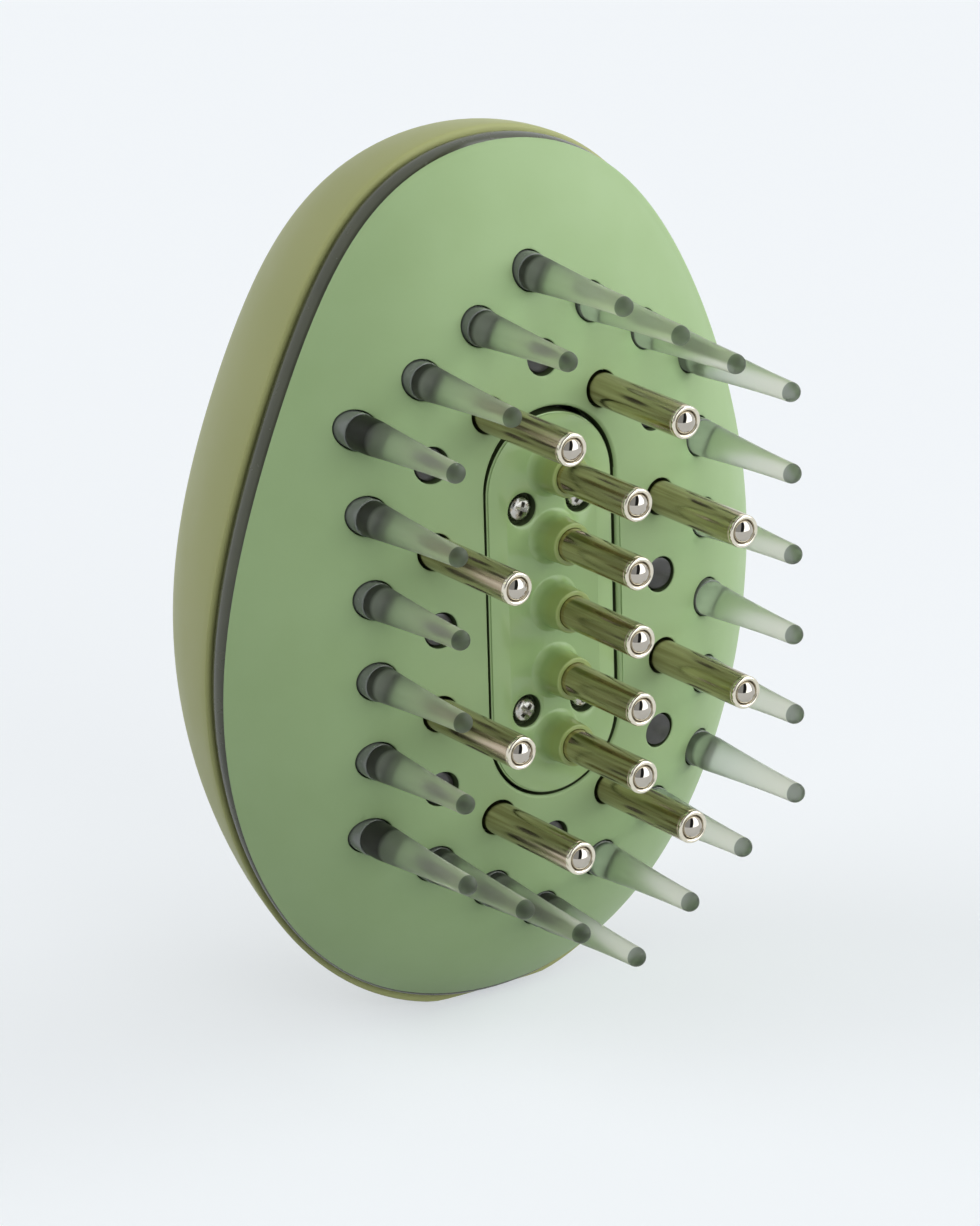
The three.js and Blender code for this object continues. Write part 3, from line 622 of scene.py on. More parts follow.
# the cover's and plate's plastic on the walls of gaps and holes, darkened as painted shade
gap_shade_sage = mottled(
    "gap_shade_plastic", (66, 78, 52), 0.6, ((62, 74, 49), (71, 83, 56)), 3.0,
    (0.55, 0.65), 2.0, specular_ior_level=0.1,
)
olive = mottled(
    "olive_plastic", (158, 163, 108), 0.48, ((156, 161, 106), (160, 165, 111)), 12.0,
    (0.44, 0.52), 6.0, detail=3.0, grain=(0.12, 0.004, 2.0), specular_ior_level=0.4,
)
smoked = mottled(
    "smoked_plastic", (60, 63, 44), 0.24, ((54, 57, 39), (67, 70, 50)), 6.0,
    (0.2, 0.3), 3.0, coat_weight=0.2,
)
clear = clear_plastic()
guide_clear = mottled(
    "guide_plastic", (196, 206, 196), 0.2, ((190, 200, 190), (202, 212, 202)), 1.5,
    (0.14, 0.24), 1.0, transmission_weight=0.5, ior=1.3,
)
smoky_root = mottled(
    "root_plastic", (102, 108, 102), 0.2, ((95, 101, 95), (109, 115, 109)), 1.5,
    (0.18, 0.28), 1.0, coat_weight=0.4,
)
# a shaded and a lit copy of the cores' plastic: painted shade for the left pins, painted light for
# the right
core_painted_shade = core_plastic("core_painted_shade", 84, 88, 80)
core_painted_light = core_plastic("core_painted_light", 158, 174, 148)
window = mottled(
    "window_plastic", (60, 60, 58), 0.2, ((56, 56, 54), (65, 65, 63)), 2.0, (0.16, 0.26), 1.0,
)
tube = tube_metal_painted_reflections()
rim = mottled(
    "rim_metal", (226, 219, 200), 0.13, ((220, 212, 193), (231, 225, 207)), 0.8,
    (0.09, 0.17), 0.5, metallic=1.0,
)
chrome = mottled(
    "ball_metal", (188, 181, 170), 0.04, ((185, 178, 167), (191, 184, 173)), 1.0,
    (0.03, 0.06), 0.6, metallic=1.0,
)
steel = mottled(
    "screw_steel", (190, 188, 180), 0.25, ((178, 176, 168), (204, 202, 195)), 0.6,
    (0.18, 0.34), 0.4, detail=3.0, grain=(0.2, 0.006, 3.0), metallic=1.0,
)
laminate = mottled(
    "board_laminate", (36, 86, 60), 0.45, ((30, 78, 52), (44, 96, 68)), 1.6,
    (0.35, 0.55), 1.0, detail=4.0, grain=(0.5, 0.01, 3.0),
)
dark_frame = mottled(
    "frame_plastic", (62, 64, 62), 0.7, ((58, 60, 58), (68, 70, 68)), 4.0,
    (0.62, 0.78), 2.0, detail=3.0, grain=(0.2, 0.01, 3.0),
)
foil = mottled(
    "battery_foil", (150, 154, 160), 0.35, ((142, 146, 152), (160, 164, 170)), 3.0,
    (0.28, 0.42), 2.0, detail=3.0, grain=(1.5, 0.04, 2.0), metallic=0.7,
)


# Front cover

HOLE_ROUNDING = 0.15
OPENING_ROUNDING = 0.5
HOLE_SHADE_FROM = 0.12  # depth in a hole at which its wall gets painted shade
ON_WALL = 0.02  # how far a face of a hole's wall may lie off it


def rounding(radius, steps=4):
    """Offsets (outwards, below the surface) round a hole's edge, from inside to outside."""
    turns = [math.pi / 2 * i / steps for i in range(steps + 1)]
    return [(radius * (1 - math.cos(t)), radius * (1 - math.sin(t))) for t in turns]


def under_face(below):
    """Depth of a cutter's edge, a distance below the cover's surface."""
    return lambda x, z: face_at(x, z) + below - CUT_PAST


def hole_cutter(place, radius):
    """Cutter for a round hole with a rounded edge that follows the cover's surface."""
    x, z = place
    surface = float(face_at(x, z))
    rings = [circle(place, radius, surface + 6)]
    for out, below in rounding(HOLE_ROUNDING):
        rings.append(circle(place, radius + out, under_face(below)))
    rings.append(circle(place, radius + HOLE_ROUNDING, lambda px, pz: face_at(px, pz) - 2))
    return loft(rings, [(x, surface + 6, z), (x, surface - 2, z)])


def opening_cutter():
    """Cutter for the plate's long opening, made as for a hole."""
    width, height = OPENING_HALF_WIDTH, OPENING_HALF_HEIGHT
    rings = [stadium_ring(width, height, 8)]
    for out, below in rounding(OPENING_ROUNDING, 8):
        rings.append(stadium_ring(width + out, height + out, under_face(below)))
    rings.append(stadium_ring(width + OPENING_ROUNDING, height + OPENING_ROUNDING, -2))
    return loft(rings, [(0, 8, 0), (0, -2, 0)])


cover_holes = (
    (pin_places, PIN_ROOT + PIN_HOLE_GAP),
    (window_places, WINDOW_RADIUS + HOLE_GAP),
    (side_places, PRONG_RADIUS + PIN_HOLE_GAP),
)


def in_cover_openings(points):
    """Which points lie on the walls of the cover's holes and opening that get painted shade."""
    straight = OPENING_HALF_HEIGHT - OPENING_HALF_WIDTH
    beyond = np.maximum(np.abs(points[:, 2]) - straight, 0)
    within = np.hypot(points[:, 0], beyond) < OPENING_HALF_WIDTH + ON_WALL
    for places, radius in cover_holes:
        within |= near(points, places, radius + ON_WALL)
    return within & (points[:, 1] > face_at(points[:, 0], points[:, 2]) + HOLE_SHADE_FROM)


def front_cover():
    """The crowned cover, with its rim, inner wall, holes and opening."""
    # the rings lie closer together towards the rim
    shares = 1 - np.linspace(1, 0, 44)[1:] ** 1.25
    outer = [cover_ring(share) for share in shares[:-2]]
    # the rim's small rounding, then its flat and the inner wall
    corner = [
        (0.4, -0.5), (0.16, -0.26), (0.05, -0.1), (0.03, 0.0), (0.12, 0.04), (COVER_WALL, 0.04),
    ]
    rim_rings = [cover_ring(1, inset, 0, sink) for inset, sink in corner]
    inner_shares = (0.95, 0.88, 0.8, 0.7, 0.55, 0.4, 0.2, 0.05)
    inner = [cover_ring(share, COVER_WALL, COVER_WALL) for share in inner_shares]
    rings = on_foot([*outer, *rim_rings, *inner])
    piece = make("front_cover_shell", loft(rings, [(0, 0, MIDDLE), (0, COVER_WALL, MIDDLE)]), sage)
    holes = [hole_cutter(place, radius) for places, radius in cover_holes for place in places]
    carve(piece, merge([opening_cutter(), *holes]))
    # the walls of the holes and the opening get a darker plastic: painted shade
    paint_gap_shade(piece, gap_shade_sage, in_cover_openings)
    dress(piece, "housing", "sage_plastic", "front_cover")


# Skirt round the opening, behind the cover

SKIRT_WALL = 0.9
SKIRT_GAP = 0.02  # between its inside and the opening
SKIRT_FRONT, SKIRT_BACK = 1.2, 3.4


def opening_skirt():
    """The wall that runs back from the cover's opening."""
    width, height = OPENING_HALF_WIDTH, OPENING_HALF_HEIGHT
    rings = [stadium_ring(width + out, height + out, depth) for out, depth in (
        (SKIRT_WALL, SKIRT_FRONT), (SKIRT_WALL, SKIRT_BACK),
        (SKIRT_GAP, SKIRT_BACK), (SKIRT_GAP, SKIRT_FRONT),
    )]
    piece = make("opening_skirt", loft(rings), sage)
    dress(piece, "housing", "sage_plastic")


# Seam band and back shell

CROWN = float(seam_at(MIDDLE)) + DOME_DEPTH  # depth of the dome's furthest point
LIP_DEPTH = 0.45  # depth of the rounded edge of the shell's lip
SOCKET_ROUNDING = 0.3
BUTTON_HOLE = BUTTON_RADIUS + HOLE_GAP


def seam_band():
    """The rounded band in the groove between the shells."""
    front, back = 0.2, GROOVE - 0.12
    profile = [
        (1.3, front), (1.02, front + 0.1), (0.82, front + 0.32), (0.66, front + 0.66),
        (0.54, front + 1.1), (0.48, front + 1.6), (0.5, back - 1.1), (0.58, back - 0.66),
        (0.72, back - 0.3), (0.92, back - 0.09), (1.2, back), (3.2, back), (3.2, front),
    ]
    rings = [dome_ring(depth, inset) for inset, depth in profile]
    for ring in rings:
        ring[:, 2] += BAND_RISE * np.maximum(-ring[:, 2] / HALF_HEIGHT, 0) ** 3
    piece = make("seam_band_ring", loft(on_foot(rings)), smoked)
    dress(piece, "housing", "smoked_plastic", "seam_band")


def socket_cutter():
    """Slot for the charging socket, with its edge rounded along the dome."""
    half_width, half_height = SOCKET_HEIGHT / 2 + HOLE_GAP, SOCKET_WIDTH / 2 + HOLE_GAP

    def ring(out, depth):
        """A lying ring, larger than the slot by out."""
        upright = stadium_ring(half_width + out, half_height + out, 0, per_arc=16)
        x, z = upright[:, 2], SOCKET_MIDDLE - upright[:, 0]
        return np.column_stack((x, depth_at(depth, x, z), z))

    rings = [ring(0, CROWN - 12)]
    for out, below in rounding(SOCKET_ROUNDING):
        rings.append(ring(out, lambda x, z, b=below: dome_at(x, z) - b + CUT_PAST))
    rings.append(ring(SOCKET_ROUNDING, CROWN + 3))
    return loft(rings, [(0, CROWN - 12, SOCKET_MIDDLE), (0, CROWN + 3, SOCKET_MIDDLE)])


def back_shell():
    """The dome, with its lip, inner wall, button hole and socket slot."""
    lip = [(1.9, 0.0), (0.5, 0.0), (0.2, 0.06), (0.05, 0.2), (0.0, LIP_DEPTH)]
    lips = [dome_ring(GROOVE + depth, inset) for inset, depth in lip]
    start = math.asin((GROOVE + LIP_DEPTH) / DOME_DEPTH)
    turns = start + (math.pi / 2 - start) * np.linspace(0, 1, 50)[1:-1]
    outer = [dome_ring(DOME_DEPTH * math.sin(t)) for t in turns]
    inner_depth = DOME_DEPTH - SHELL_WALL
    inner_start = math.asin((GROOVE + 0.2) / inner_depth)
    inner_turns = inner_start + (math.pi / 2 - inner_start) * np.linspace(0, 1, 24)[:-1]
    inner = [dome_ring(inner_depth * math.sin(t), SHELL_WALL) for t in reversed(inner_turns)]
    top = MIDDLE + DOME_LIFT
    # the walk starts at the inner crown, runs out to the lip and ends at the outer crown
    rings = on_foot([*inner, *lips, *outer])
    ends = [(0, CROWN - SHELL_WALL, top), (0, CROWN, top)]
    piece = make("back_shell_dome", loft(rings, ends), olive)
    hole = turned([
        (0, CROWN - 8), (BUTTON_HOLE, CROWN - 8), (BUTTON_HOLE, CROWN - 0.9),
        (BUTTON_HOLE + 0.1, CROWN - 0.65), (BUTTON_HOLE + 0.9, CROWN + 0.2),
        (BUTTON_HOLE + 0.9, CROWN + 3), (0, CROWN + 3),
    ], (0, top), 96)
    carve(piece, merge([hole, socket_cutter()]))
    dress(piece, "housing", "olive_plastic", "back_shell")


# Centre plate

PLATE_EDGE = 0.25
PLATE_CROWN = 0.35  # how far the plate falls off towards its edge
PLATE_FALL = 2.6  # over this width
PLATE_BORE_GAP = 0.6  # between a prong and its bore in the plate, under the boss
SCREW_HEAD_RADIUS = 1.6
SCREW_HEAD_HEIGHT = 1.1
SCREW_SINK = 0.15
SCREW_SHANK_RADIUS = 0.85
SCREW_SHANK_LENGTH = 5.4
SCREW_WELL_GAP = 0.4
WELL_SHADE_FROM = 0.26  # depth in a screw's well at which its wall gets painted shade
SCREW_TURNS = (20, 48, 35, 10)  # how far each screw is turned, in degrees
BOSS_SPREAD = 0.5  # how far outside the boss's foot its sweep starts
BOSS_SINK = 0.02  # and how far below the plate
SWEEP_WIDTH, SWEEP_HEIGHT = 0.85, 1.3  # radii of the sweep
SWEEP_TURN = 1.35  # how far it goes round, in radians
BOSS_EDGE = 0.2  # radius of its top's outer edge
BOSS_GAP = 0.03  # between its bore and the prong
BOSS_SKIRT = 1.0  # how deep it reaches into the plate


def plate_body():
    """The plate with its rounded edge, before its wells and bores."""
    width, height = OPENING_HALF_WIDTH - PLATE_GAP, OPENING_HALF_HEIGHT - PLATE_END_GAP
    back = PLATE_RECESS + PLATE_THICKNESS
    low = PLATE_RECESS + PLATE_CROWN

    def ring(inwards, depth):
        return stadium_ring(width - inwards, height - inwards, depth, -PLATE_DROP)

    rings = [ring(0, back)]
    for along, down in rounding(PLATE_EDGE, 6):
        rings.append(ring(PLATE_EDGE - down, low + PLATE_EDGE - along))
    for share in np.linspace(0, 1, 9)[1:]:
        depth = PLATE_RECESS + PLATE_CROWN * (1 - share) ** 2
        rings.append(ring(PLATE_EDGE + PLATE_FALL * share, depth))
    return loft(rings, [(0, back, -PLATE_DROP), (0, PLATE_RECESS, -PLATE_DROP)])


def boss(place):
    """Raised collar that a prong stands in, swept into the plate at its foot."""
    start = BOSS_FOOT + BOSS_SPREAD
    foot = [
        (start - SWEEP_WIDTH * math.sin(t),
         PLATE_RECESS + BOSS_SINK - SWEEP_HEIGHT * (1 - math.cos(t)))
        for t in np.linspace(0, SWEEP_TURN, 10)
    ]
    top, back = PLATE_RECESS - BOSS_HEIGHT, PLATE_RECESS + BOSS_SKIRT
    hole = PRONG_RADIUS + BOSS_GAP
    edge = rounded(BOSS_TOP, top, BOSS_EDGE, 6)
    bore = [(hole + 0.05, top), (hole, top + 0.05), (hole, back)]
    return turned([*foot, *edge, *bore, (start, back)], place, 64)


def centre_plate():
    """The plate with its screw wells and its five bosses."""
    piece = make("centre_plate_body", plate_body(), glossy_sage)
    well = SCREW_HEAD_RADIUS + SCREW_WELL_GAP
    floor = PLATE_RECESS + SCREW_SINK + SCREW_HEAD_HEIGHT + 0.2
    wells = [
        turned([
            (0, floor), (well, floor), (well, PLATE_RECESS + 0.25),
            (well + 0.07, PLATE_RECESS + 0.09), (well + 0.25, PLATE_RECESS - CUT_PAST),
            (well + 0.25, -2), (0, -2),
        ], place, 64)
        for place in plate_screw_places
    ]
    bore = PRONG_RADIUS + PLATE_BORE_GAP
    bores = [
        turned([(0, 6), (bore, 6), (bore, -2), (0, -2)], place) for place in centre_places
    ]
    carve(piece, merge([*wells, *bores]))
    # the plate's sides and back and its screw wells' walls get a darker plastic: painted shade
    paint_gap_shade(piece, gap_shade_sage, lambda points: (
        (points[:, 1] > PLATE_RECESS + PLATE_CROWN + PLATE_EDGE - ON_WALL)
        | near(points, plate_screw_places, well + ON_WALL)
        & (points[:, 1] > PLATE_RECESS + WELL_SHADE_FROM)
    ))
    shapes = [boss(place) for place in centre_places]
    bosses = make("centre_plate_bosses", merge(shapes), boss_sage_painted_reflection)
    dress(bosses, "housing", "glossy_sage_plastic")
    dress(piece, "housing", "glossy_sage_plastic", "centre_plate")


# Screws of the centre plate

CROSS_WIDTH = 0.52
CROSS_REACH = 0.98
CROSS_DEPTH = 0.75


def cross_recess(place, head_front):
    """The two bars of a tapered cross, to cut into a screw head."""
    x, z = place
    low, high = head_front - 1, head_front + CROSS_DEPTH
    bars = []
    for across in (False, True):
        rings = []
        for depth, share in ((low, 1.25), (head_front, 1.0), (high, 0.4)):
            reach, width = CROSS_REACH * share, CROSS_WIDTH / 2 * (0.6 + 0.4 * share)
            if across:
                reach, width = width, reach
            corners = ((-reach, -width), (reach, -width), (reach, width), (-reach, width))
            rings.append(np.array([(x + dx, depth, z + dz) for dx, dz in corners]))
        bars.append(loft(rings, [(x, low, z), (x, high, z)]))
    return bars


def plate_screw(number, place):
    """Pan-head screw with a cross."""
    front = PLATE_RECESS + SCREW_SINK
    seat = front + SCREW_HEAD_HEIGHT
    tip = seat + SCREW_SHANK_LENGTH
    profile = [
        (0, front), (0.5, front + 0.02), (0.95, front + 0.09), (1.3, front + 0.24),
        (1.5, front + 0.45), (SCREW_HEAD_RADIUS, front + 0.75), (SCREW_HEAD_RADIUS, seat),
        (SCREW_SHANK_RADIUS, seat), (SCREW_SHANK_RADIUS, tip), (0, tip),
    ]
    piece = make(f"plate_screw_{number}_pan_head", turned(profile, place, 48), steel)
    for bar in cross_recess(place, front):
        carve(piece, bar)
    turn_about(piece, place, SCREW_TURNS[number - 1])
    dress(piece, "housing", "screw_steel", f"plate_screw_{number}")


def turn_about(piece, place, degrees):
    """Turns a piece's mesh about the line along Y through a place on the face."""
    centre = Vector(to_world((place[0], 0, place[1])))
    turn = Matrix.Rotation(math.radians(degrees), 4, "Y")
    piece.data.transform(Matrix.Translation(centre) @ turn @ Matrix.Translation(-centre))


# Roller prongs

TUBE_END = 0.62  # how far behind the rim's front the tube ends
RIM_EDGE = 0.26  # radius of the rim's outer edge


def prong(name, place, ball_name):
    """Tube with a collar and a rolled rim that holds its ball."""
    front = node_box(ball_name)[1][1] - FACE_DEPTH - BALL_RADIUS + BALL_SHOW
    collar_back = node_box(name)[2][1] - FACE_DEPTH
    collar_front = collar_back - COLLAR_THICKNESS
    tube_profile = [
        (PRONG_BORE, collar_back), (COLLAR_RADIUS, collar_back), (COLLAR_RADIUS, collar_front),
        (PRONG_RADIUS, collar_front), (PRONG_RADIUS, front + TUBE_END),
        (PRONG_RADIUS - 0.06, front + 0.55), (PRONG_RADIUS - 0.3, front + 0.55),
        (PRONG_BORE, front + 1.9),
    ]
    body = make(f"{name}_tube", turned(tube_profile, place, 64), tube)
    dress(body, "housing", "polished_metal", name)
    # the rim is rolled in over the ball
    outer = rounded(PRONG_RADIUS, front, RIM_EDGE, 7)
    rolled = [
        (PRONG_RADIUS - RIM_EDGE - RIM_ROLL * math.sin(t), front + RIM_ROLL * (1 - math.cos(t)))
        for t in np.linspace(0, math.pi / 2, 7)[1:]
    ]
    loose = BALL_RADIUS + BALL_CLEARANCE
    rim_profile = [
        (PRONG_RADIUS - 0.1, front + TUBE_END), (PRONG_RADIUS, front + 0.5), *outer, *rolled,
        (PRONG_RADIUS - 0.24 - RIM_ROLL, front + RIM_ROLL + 0.08), (loose - 0.12, front + 0.52),
        (loose, front + 0.8), (loose, front + 1.0), (PRONG_RADIUS - 0.1, front + 1.0),
    ]
    ring = make(f"{name}_rim", turned(rim_profile, place, 64), rim)
    dress(ring, "housing", "polished_metal")


def ball(name, body):
    """Polished ball, where its solid is."""
    middle = node_box(name)[1]
    x, y, z = middle[0], middle[1] - FACE_DEPTH, middle[2] - FACE_HEIGHT
    steps = np.linspace(-math.pi / 2, math.pi / 2, 25)
    profile = [(BALL_RADIUS * math.cos(t), y + BALL_RADIUS * math.sin(t)) for t in steps]
    profile[0], profile[-1] = (0, y - BALL_RADIUS), (0, y + BALL_RADIUS)
    piece = make(f"{name}_polished", turned(profile, (x, z), 48), chrome)
    dress(piece, body, "chromed_steel", name)


# Clear pins and windows

CORES_SHADED_LEFT_OF = 4  # the pins to the left of this get cores in painted shade, the others cores in painted light


def pin_radius(depth):
    """Radius of a pin's flared stem at a depth."""
    share = min(max((PIN_ROOT_DEPTH - depth) / (PIN_REACH + PIN_ROOT_DEPTH), 0), 1)
    return PIN_TIP + (PIN_ROOT - PIN_TIP) * (1 - share) ** PIN_FLARE


def pin_body(place):
    """Clear pin with a flared stem and a round tip."""
    stem = [(pin_radius(depth), depth) for depth in np.linspace(PIN_ROOT_DEPTH, -PIN_REACH, 20)]
    turns = np.linspace(0, math.pi / 2, 10)[1:-1]
    tip = [(PIN_TIP * math.cos(t), -PIN_REACH - PIN_TIP * math.sin(t)) for t in turns]
    back = GUIDE_DEPTH + 0.5
    return turned([(0, back), (PIN_ROOT, back), *stem, *tip, (0, -PIN_REACH - PIN_TIP)], place, 40)


def pin_collar(place):
    """Smoky collar round a pin's root, just proud of the cover."""
    front = float(face_at(*place)) - COLLAR_END
    radius = PIN_ROOT + COLLAR_SPREAD
    edge = rounded(radius, front, COLLAR_EDGE, 5)
    inner = PIN_ROOT + 0.01
    profile = [(inner, GUIDE_DEPTH), (radius, GUIDE_DEPTH), *edge, (inner, front + 0.03)]
    return turned(profile, place, 40)


def pin_core(place):
    """Core inside a pin's root, behind the collar's front, with a domed end."""
    front = float(face_at(*place)) - COLLAR_END + CORE_SINK
    dome = [
        (CORE_RADIUS * math.sin(t), front + CORE_DOME * (1 - math.cos(t)))
        for t in np.linspace(0, 1.5, 7)
    ]
    return turned([*dome, (CORE_RADIUS, GUIDE_DEPTH), (0, GUIDE_DEPTH)], place, 40)


def window_post(place):
    """Short window with a slightly domed end, below the cover's surface."""
    front = float(face_at(*place)) + WINDOW_RECESS
    radius = WINDOW_RADIUS
    return turned([
        (0, GUIDE_DEPTH), (radius, GUIDE_DEPTH), (radius, front + 0.25),
        (radius - 0.08, front + 0.08), (radius - 0.3, front), (0, front - 0.08),
    ], place, 40)


def guide_plate(node):
    """The flat part of a light guide, taken from its solid behind the pins."""
    bm = bmesh.new()
    bm.from_mesh(nodes[node].data)
    plane = Vector(to_world((0, GUIDE_DEPTH + 0.02, 0)))
    bmesh.ops.bisect_plane(
        bm, geom=[*bm.verts, *bm.edges, *bm.faces], plane_co=plane, plane_no=(0, -1, 0),
        clear_outer=True,
    )
    bmesh.ops.holes_fill(bm, edges=[e for e in bm.edges if e.is_boundary])
    mesh = bpy.data.meshes.new(f"{node}_plate")
    bm.to_mesh(mesh)
    bm.free()
    mesh.materials.clear()
    mesh.materials.append(guide_clear)
    smooth(mesh)
    return add_object(f"{node}_plate", mesh)


def in_guide(node, place):
    """Whether a place on the face belongs to a light guide."""
    low, _, high = node_box(node)
    x, z = place[0], place[1] + FACE_HEIGHT
    return low[0] <= x <= high[0] and low[2] <= z <= high[2]


def light_guide(node):
    """A light guide: its pins with their collars and cores, its windows and its flat part."""
    pins = [place for place in pin_places if in_guide(node, place)]
    posts = [place for place in window_places if in_guide(node, place)]
    dress(
        make(f"{node}_pins", merge([pin_body(place) for place in pins]), clear),
        "housing", "clear_plastic", node,
    )
    # the left pins' cores get painted shade, the right pins' painted light
    left = [place for place in pins if place[0] < CORES_SHADED_LEFT_OF]
    right = [place for place in pins if place not in left]
    for part, shape, places, surface in (
        ("collars", pin_collar, pins, smoky_root),
        ("cores_left", pin_core, left, core_painted_shade),
        ("cores_right", pin_core, right, core_painted_light),
        ("windows", window_post, posts, window),
    ):
        if places:
            piece = make(f"{node}_{part}", merge([shape(place) for place in places]), surface)
            dress(piece, "housing", "clear_plastic")
    dress(guide_plate(node), "housing", "clear_plastic")


# Power button, on the back

BUTTON_EDGE = 0.6  # radius of its rounded edge
BUTTON_FLANGE = 8.3  # radius of the flange that keeps it in
BUTTON_STEM = 1.8
DISH_RADIUS = 5.6
DISH_DEPTH = 0.35


def power_button():
    """Dished button with a flange and a stem."""
    low, middle, high = node_box("power_button")
    x, z = middle[0], middle[2] - FACE_HEIGHT
    top, inner = high[1] - FACE_DEPTH, low[1] - FACE_DEPTH
    edge = rounded(BUTTON_RADIUS, top, BUTTON_EDGE, 8, side=-1)
    dish = [
        (r, top - DISH_DEPTH * (1 - (r / DISH_RADIUS) ** 2))
        for r in (DISH_RADIUS, 4.6, 3.4, 2.2, 1.1)
    ]
    profile = [
        (0, inner), (BUTTON_STEM, inner), (BUTTON_STEM, top - 3.7), (BUTTON_FLANGE, top - 3.7),
        (BUTTON_FLANGE, top - 2.9), (BUTTON_RADIUS, top - 2.9), *edge, *dish, (0, top - DISH_DEPTH),
    ]
    piece = make("power_button_cap", turned(profile, (x, z), 96), glossy_sage)
    dress(piece, "button", "glossy_sage_plastic", "power_button")


front_cover()
opening_skirt()
seam_band()
back_shell()
centre_plate()
for number, place in enumerate(plate_screw_places, 1):
    plate_screw(number, place)
for row, places in (("centre", centre_places), ("side", side_places)):
    for number, place in enumerate(places, 1):
        prong(f"{row}_prong_{number}", place, f"{row}_ball_{number}")
        ball(f"{row}_ball_{number}", f"{row}_roller_{number}")
for side in ("left", "right", "top", "bottom"):
    light_guide(f"light_guide_{side}")
power_button()


# Materials of the nodes that stay as they are

hidden_screws = [f"{row}_screw_{i}" for row in ("frame", "board") for i in range(1, 5)]
for surface, names in (
    (laminate, ("led_board", "main_board")),
    (dark_frame, ("inner_frame", "tact_switch")),
    (foil, ("battery",)),
    (steel, ("motor", "motor_rotor", "charging_socket", *hidden_screws)),
):
    for name in names:
        mesh = nodes[name].data
        mesh.materials.clear()
        mesh.materials.append(surface)
        mesh.set_sharp_from_angle(angle=math.radians(30))


# Camera, fitted to the photograph

IMAGE_HEIGHT = 1226
CAMERA_AZIMUTH = math.radians(-34.269)
CAMERA_ELEVATION = math.radians(19.523)
CAMERA_ROLL = math.radians(-1.563)
CAMERA_DISTANCE = 784.53
CAMERA_RIGHT = -8.274
CAMERA_UP = -0.811
CAMERA_TARGET = (0, -1.24, 0)
FOCAL_PIXELS = 6681.8
SENSOR_HEIGHT = 36.0
CLIP_START, CLIP_END = 0.05, 20  # in metres


def direction(azimuth, elevation):
    """Unit vector from the object towards an azimuth and elevation, in radians."""
    return Vector((
        math.sin(azimuth) * math.cos(elevation),
        -math.cos(azimuth) * math.cos(elevation),
        math.sin(elevation),
    ))


def add_camera():
    """The camera, by its place and turn about a target on the object."""
    back = direction(CAMERA_AZIMUTH, CAMERA_ELEVATION)
    level = Vector((math.cos(CAMERA_AZIMUTH), math.sin(CAMERA_AZIMUTH), 0))
    upright = back.cross(level)
    right = level * math.cos(CAMERA_ROLL) + upright * math.sin(CAMERA_ROLL)
    up = upright * math.cos(CAMERA_ROLL) - level * math.sin(CAMERA_ROLL)
    target = Vector(to_world(CAMERA_TARGET))
    data = bpy.data.cameras.new("camera")
    data.sensor_fit = "VERTICAL"
    data.sensor_height = SENSOR_HEIGHT
    data.lens = FOCAL_PIXELS / IMAGE_HEIGHT * SENSOR_HEIGHT
    data.clip_start, data.clip_end = CLIP_START, CLIP_END
    camera = add_object("camera", data)
    turn = Matrix((right, up, back)).transposed().to_4x4()
    eye = target + (back * CAMERA_DISTANCE + right * CAMERA_RIGHT + up * CAMERA_UP) * MM
    camera.matrix_world = Matrix.Translation(eye) @ turn
    bpy.context.scene.camera = camera


# Floor, light and background

BACKGROUND = tone(241, 245, 249)
FLOOR_SHARE = 0.47  # share of the background's tone that takes light and shadow
FLOOR_GLOW = 0.56  # and the share that is always seen
FLOOR_HALF = 8.0  # in metres


def folded(tree, operation, outputs, start):
    """Combines outputs one by one with a math operation, from a starting number."""
    total = None
    for output in outputs:
        step = add_node(tree, "ShaderNodeMath", operation=operation)
        tree.links.new(output, step.inputs[0])
        if total is None:
            step.inputs[1].default_value = start
        else:
            tree.links.new(total, step.inputs[1])
        total = step.outputs[0]
    return total


def shows_itself(tree):
    """1 where the camera, a reflection or a clear piece looks, and 0 for light on things."""
    path = add_node(tree, "ShaderNodeLightPath")
    rays = [path.outputs[f"Is {kind} Ray"] for kind in ("Camera", "Glossy", "Transmission")]
    return folded(tree, "MAXIMUM", rays, 0.0)


# What polished pieces mirror beside the background: the planes that bound it, how soft its edges
# are and what it adds to the background's brightness

SOFTBOX = (((0.896, -0.112, -0.426), (-0.378, -0.593, 0.4), (0, 0, 1)), 0.04, 2.2)
DARK_ROOM = (((-0.896, 0.112, 0.426), (0.674, -0.456, -0.116), (0, 0, 1)), 0.04, -0.97)
DIM_SIDE = (((-0.674, 0.456, 0.116), (0, -1, 0), (0, 0, 1)), 0.06, -0.5)


def mirrored_part(tree, planes, softness, brightness):
    """What a part of the surroundings, on the near side of its planes, adds to the background."""
    place = add_node(tree, "ShaderNodeTexCoord")
    edges = []
    for plane in planes:
        towards = add_node(tree, "ShaderNodeVectorMath", operation="DOT_PRODUCT")
        towards.inputs[1].default_value = plane
        edge = add_node(tree, "ShaderNodeMapRange", interpolation_type="SMOOTHSTEP", **{
            "From Min": -softness, "From Max": softness,
        })
        tree.links.new(place.outputs["Generated"], towards.inputs[0])
        tree.links.new(towards.outputs["Value"], edge.inputs["Value"])
        edges.append(edge.outputs["Result"])
    return folded(tree, "MULTIPLY", edges, brightness)


def mirrored_strength(tree):
    """1, and in reflections also what the parts of the surroundings add."""
    path = add_node(tree, "ShaderNodeLightPath")
    parts = [mirrored_part(tree, *part) for part in (SOFTBOX, DARK_ROOM, DIM_SIDE)]
    shown = add_node(tree, "ShaderNodeMath", operation="MULTIPLY_ADD")
    tree.links.new(folded(tree, "ADD", parts, 0.0), shown.inputs[0])
    tree.links.new(path.outputs["Is Glossy Ray"], shown.inputs[1])
    shown.inputs[2].default_value = 1.0
    return shown.outputs[0]


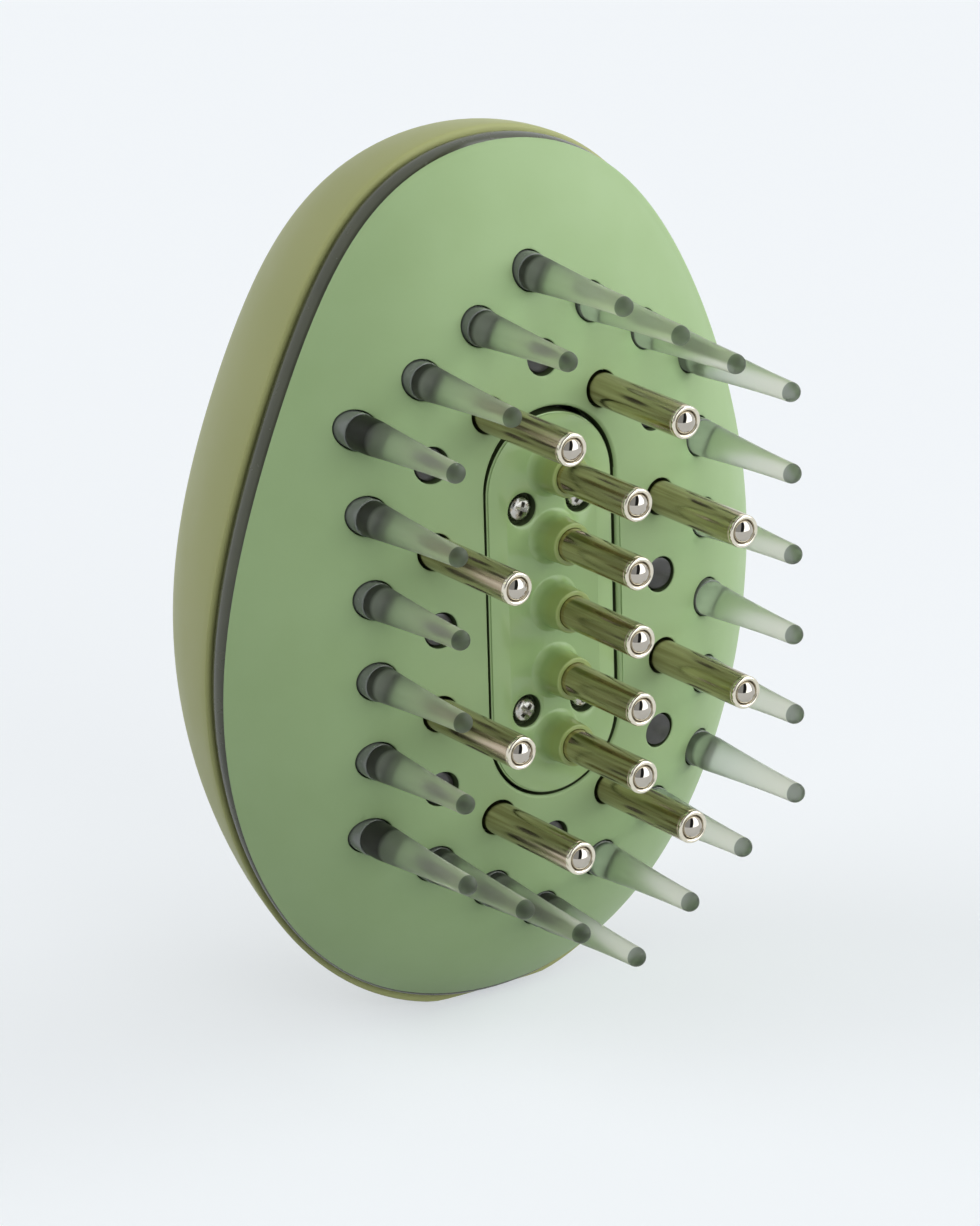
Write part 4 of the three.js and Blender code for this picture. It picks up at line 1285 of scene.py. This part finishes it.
def add_world(level):
    """Even light of a level, behind the background that the camera and reflections see."""
    world = bpy.data.worlds.new("studio")
    world.use_nodes = True
    tree = world.node_tree
    tree.nodes.clear()
    link = tree.links.new
    output = add_node(tree, "ShaderNodeOutputWorld")
    mix = add_node(tree, "ShaderNodeMixShader")
    light = add_node(tree, "ShaderNodeBackground", Color=(1.0, 0.99, 0.97, 1), Strength=level)
    shown = add_node(tree, "ShaderNodeBackground", Color=(*BACKGROUND, 1))
    link(mirrored_strength(tree), shown.inputs["Strength"])
    link(shows_itself(tree), mix.inputs["Fac"])
    link(light.outputs[0], mix.inputs[1])
    link(shown.outputs[0], mix.inputs[2])
    link(mix.outputs[0], output.inputs["Surface"])
    bpy.context.scene.world = world


def floor_material():
    """The background's tone, part of it lit and shadowed and part of it glowing."""
    material = bpy.data.materials.new("floor")
    material.use_nodes = True
    tree = material.node_tree
    tree.nodes.clear()
    link = tree.links.new
    output = add_node(tree, "ShaderNodeOutputMaterial")
    add = add_node(tree, "ShaderNodeAddShader")
    share = [FLOOR_SHARE * c for c in BACKGROUND]
    diffuse = add_node(tree, "ShaderNodeBsdfDiffuse", Color=(*share, 1))
    glow = add_node(tree, "ShaderNodeEmission", Color=(*BACKGROUND, 1))
    scale = add_node(tree, "ShaderNodeMath", operation="MULTIPLY")
    scale.inputs[1].default_value = FLOOR_GLOW
    link(shows_itself(tree), scale.inputs[0])
    link(scale.outputs[0], glow.inputs["Strength"])
    link(diffuse.outputs[0], add.inputs[0])
    link(glow.outputs[0], add.inputs[1])
    link(add.outputs[0], output.inputs["Surface"])
    return material


def add_floor():
    half = FLOOR_HALF
    corners = [(-half, -half, 0), (half, -half, 0), (half, half, 0), (-half, half, 0)]
    mesh = bpy.data.meshes.new("floor")
    mesh.from_pydata(corners, [], [(0, 1, 2, 3)])
    mesh.materials.append(floor_material())
    floor = add_object("floor", mesh)


def add_sun(name, azimuth, elevation, strength, spread):
    """A sun that shines from an azimuth and elevation, counted as the camera's are."""
    source = direction(math.radians(azimuth), math.radians(elevation))
    data = bpy.data.lights.new(name, "SUN")
    data.energy = strength
    data.angle = math.radians(spread)
    light = add_object(name, data)
    light.visible_glossy = False
    light.matrix_world = source.to_track_quat("Z", "Y").to_matrix().to_4x4()


add_camera()
add_world(0.36)
add_floor()
add_sun("key", 0, 18, 1.1, 45)
add_sun("side", 60, 25, 0.88, 45)
add_sun("top", -20, 72, 0.2, 60)
add_sun("right", 85, 15, 1.3, 45)
add_sun("rim", -120, 40, 0.95, 45)

bpy.context.scene.view_settings.view_transform = "Standard"
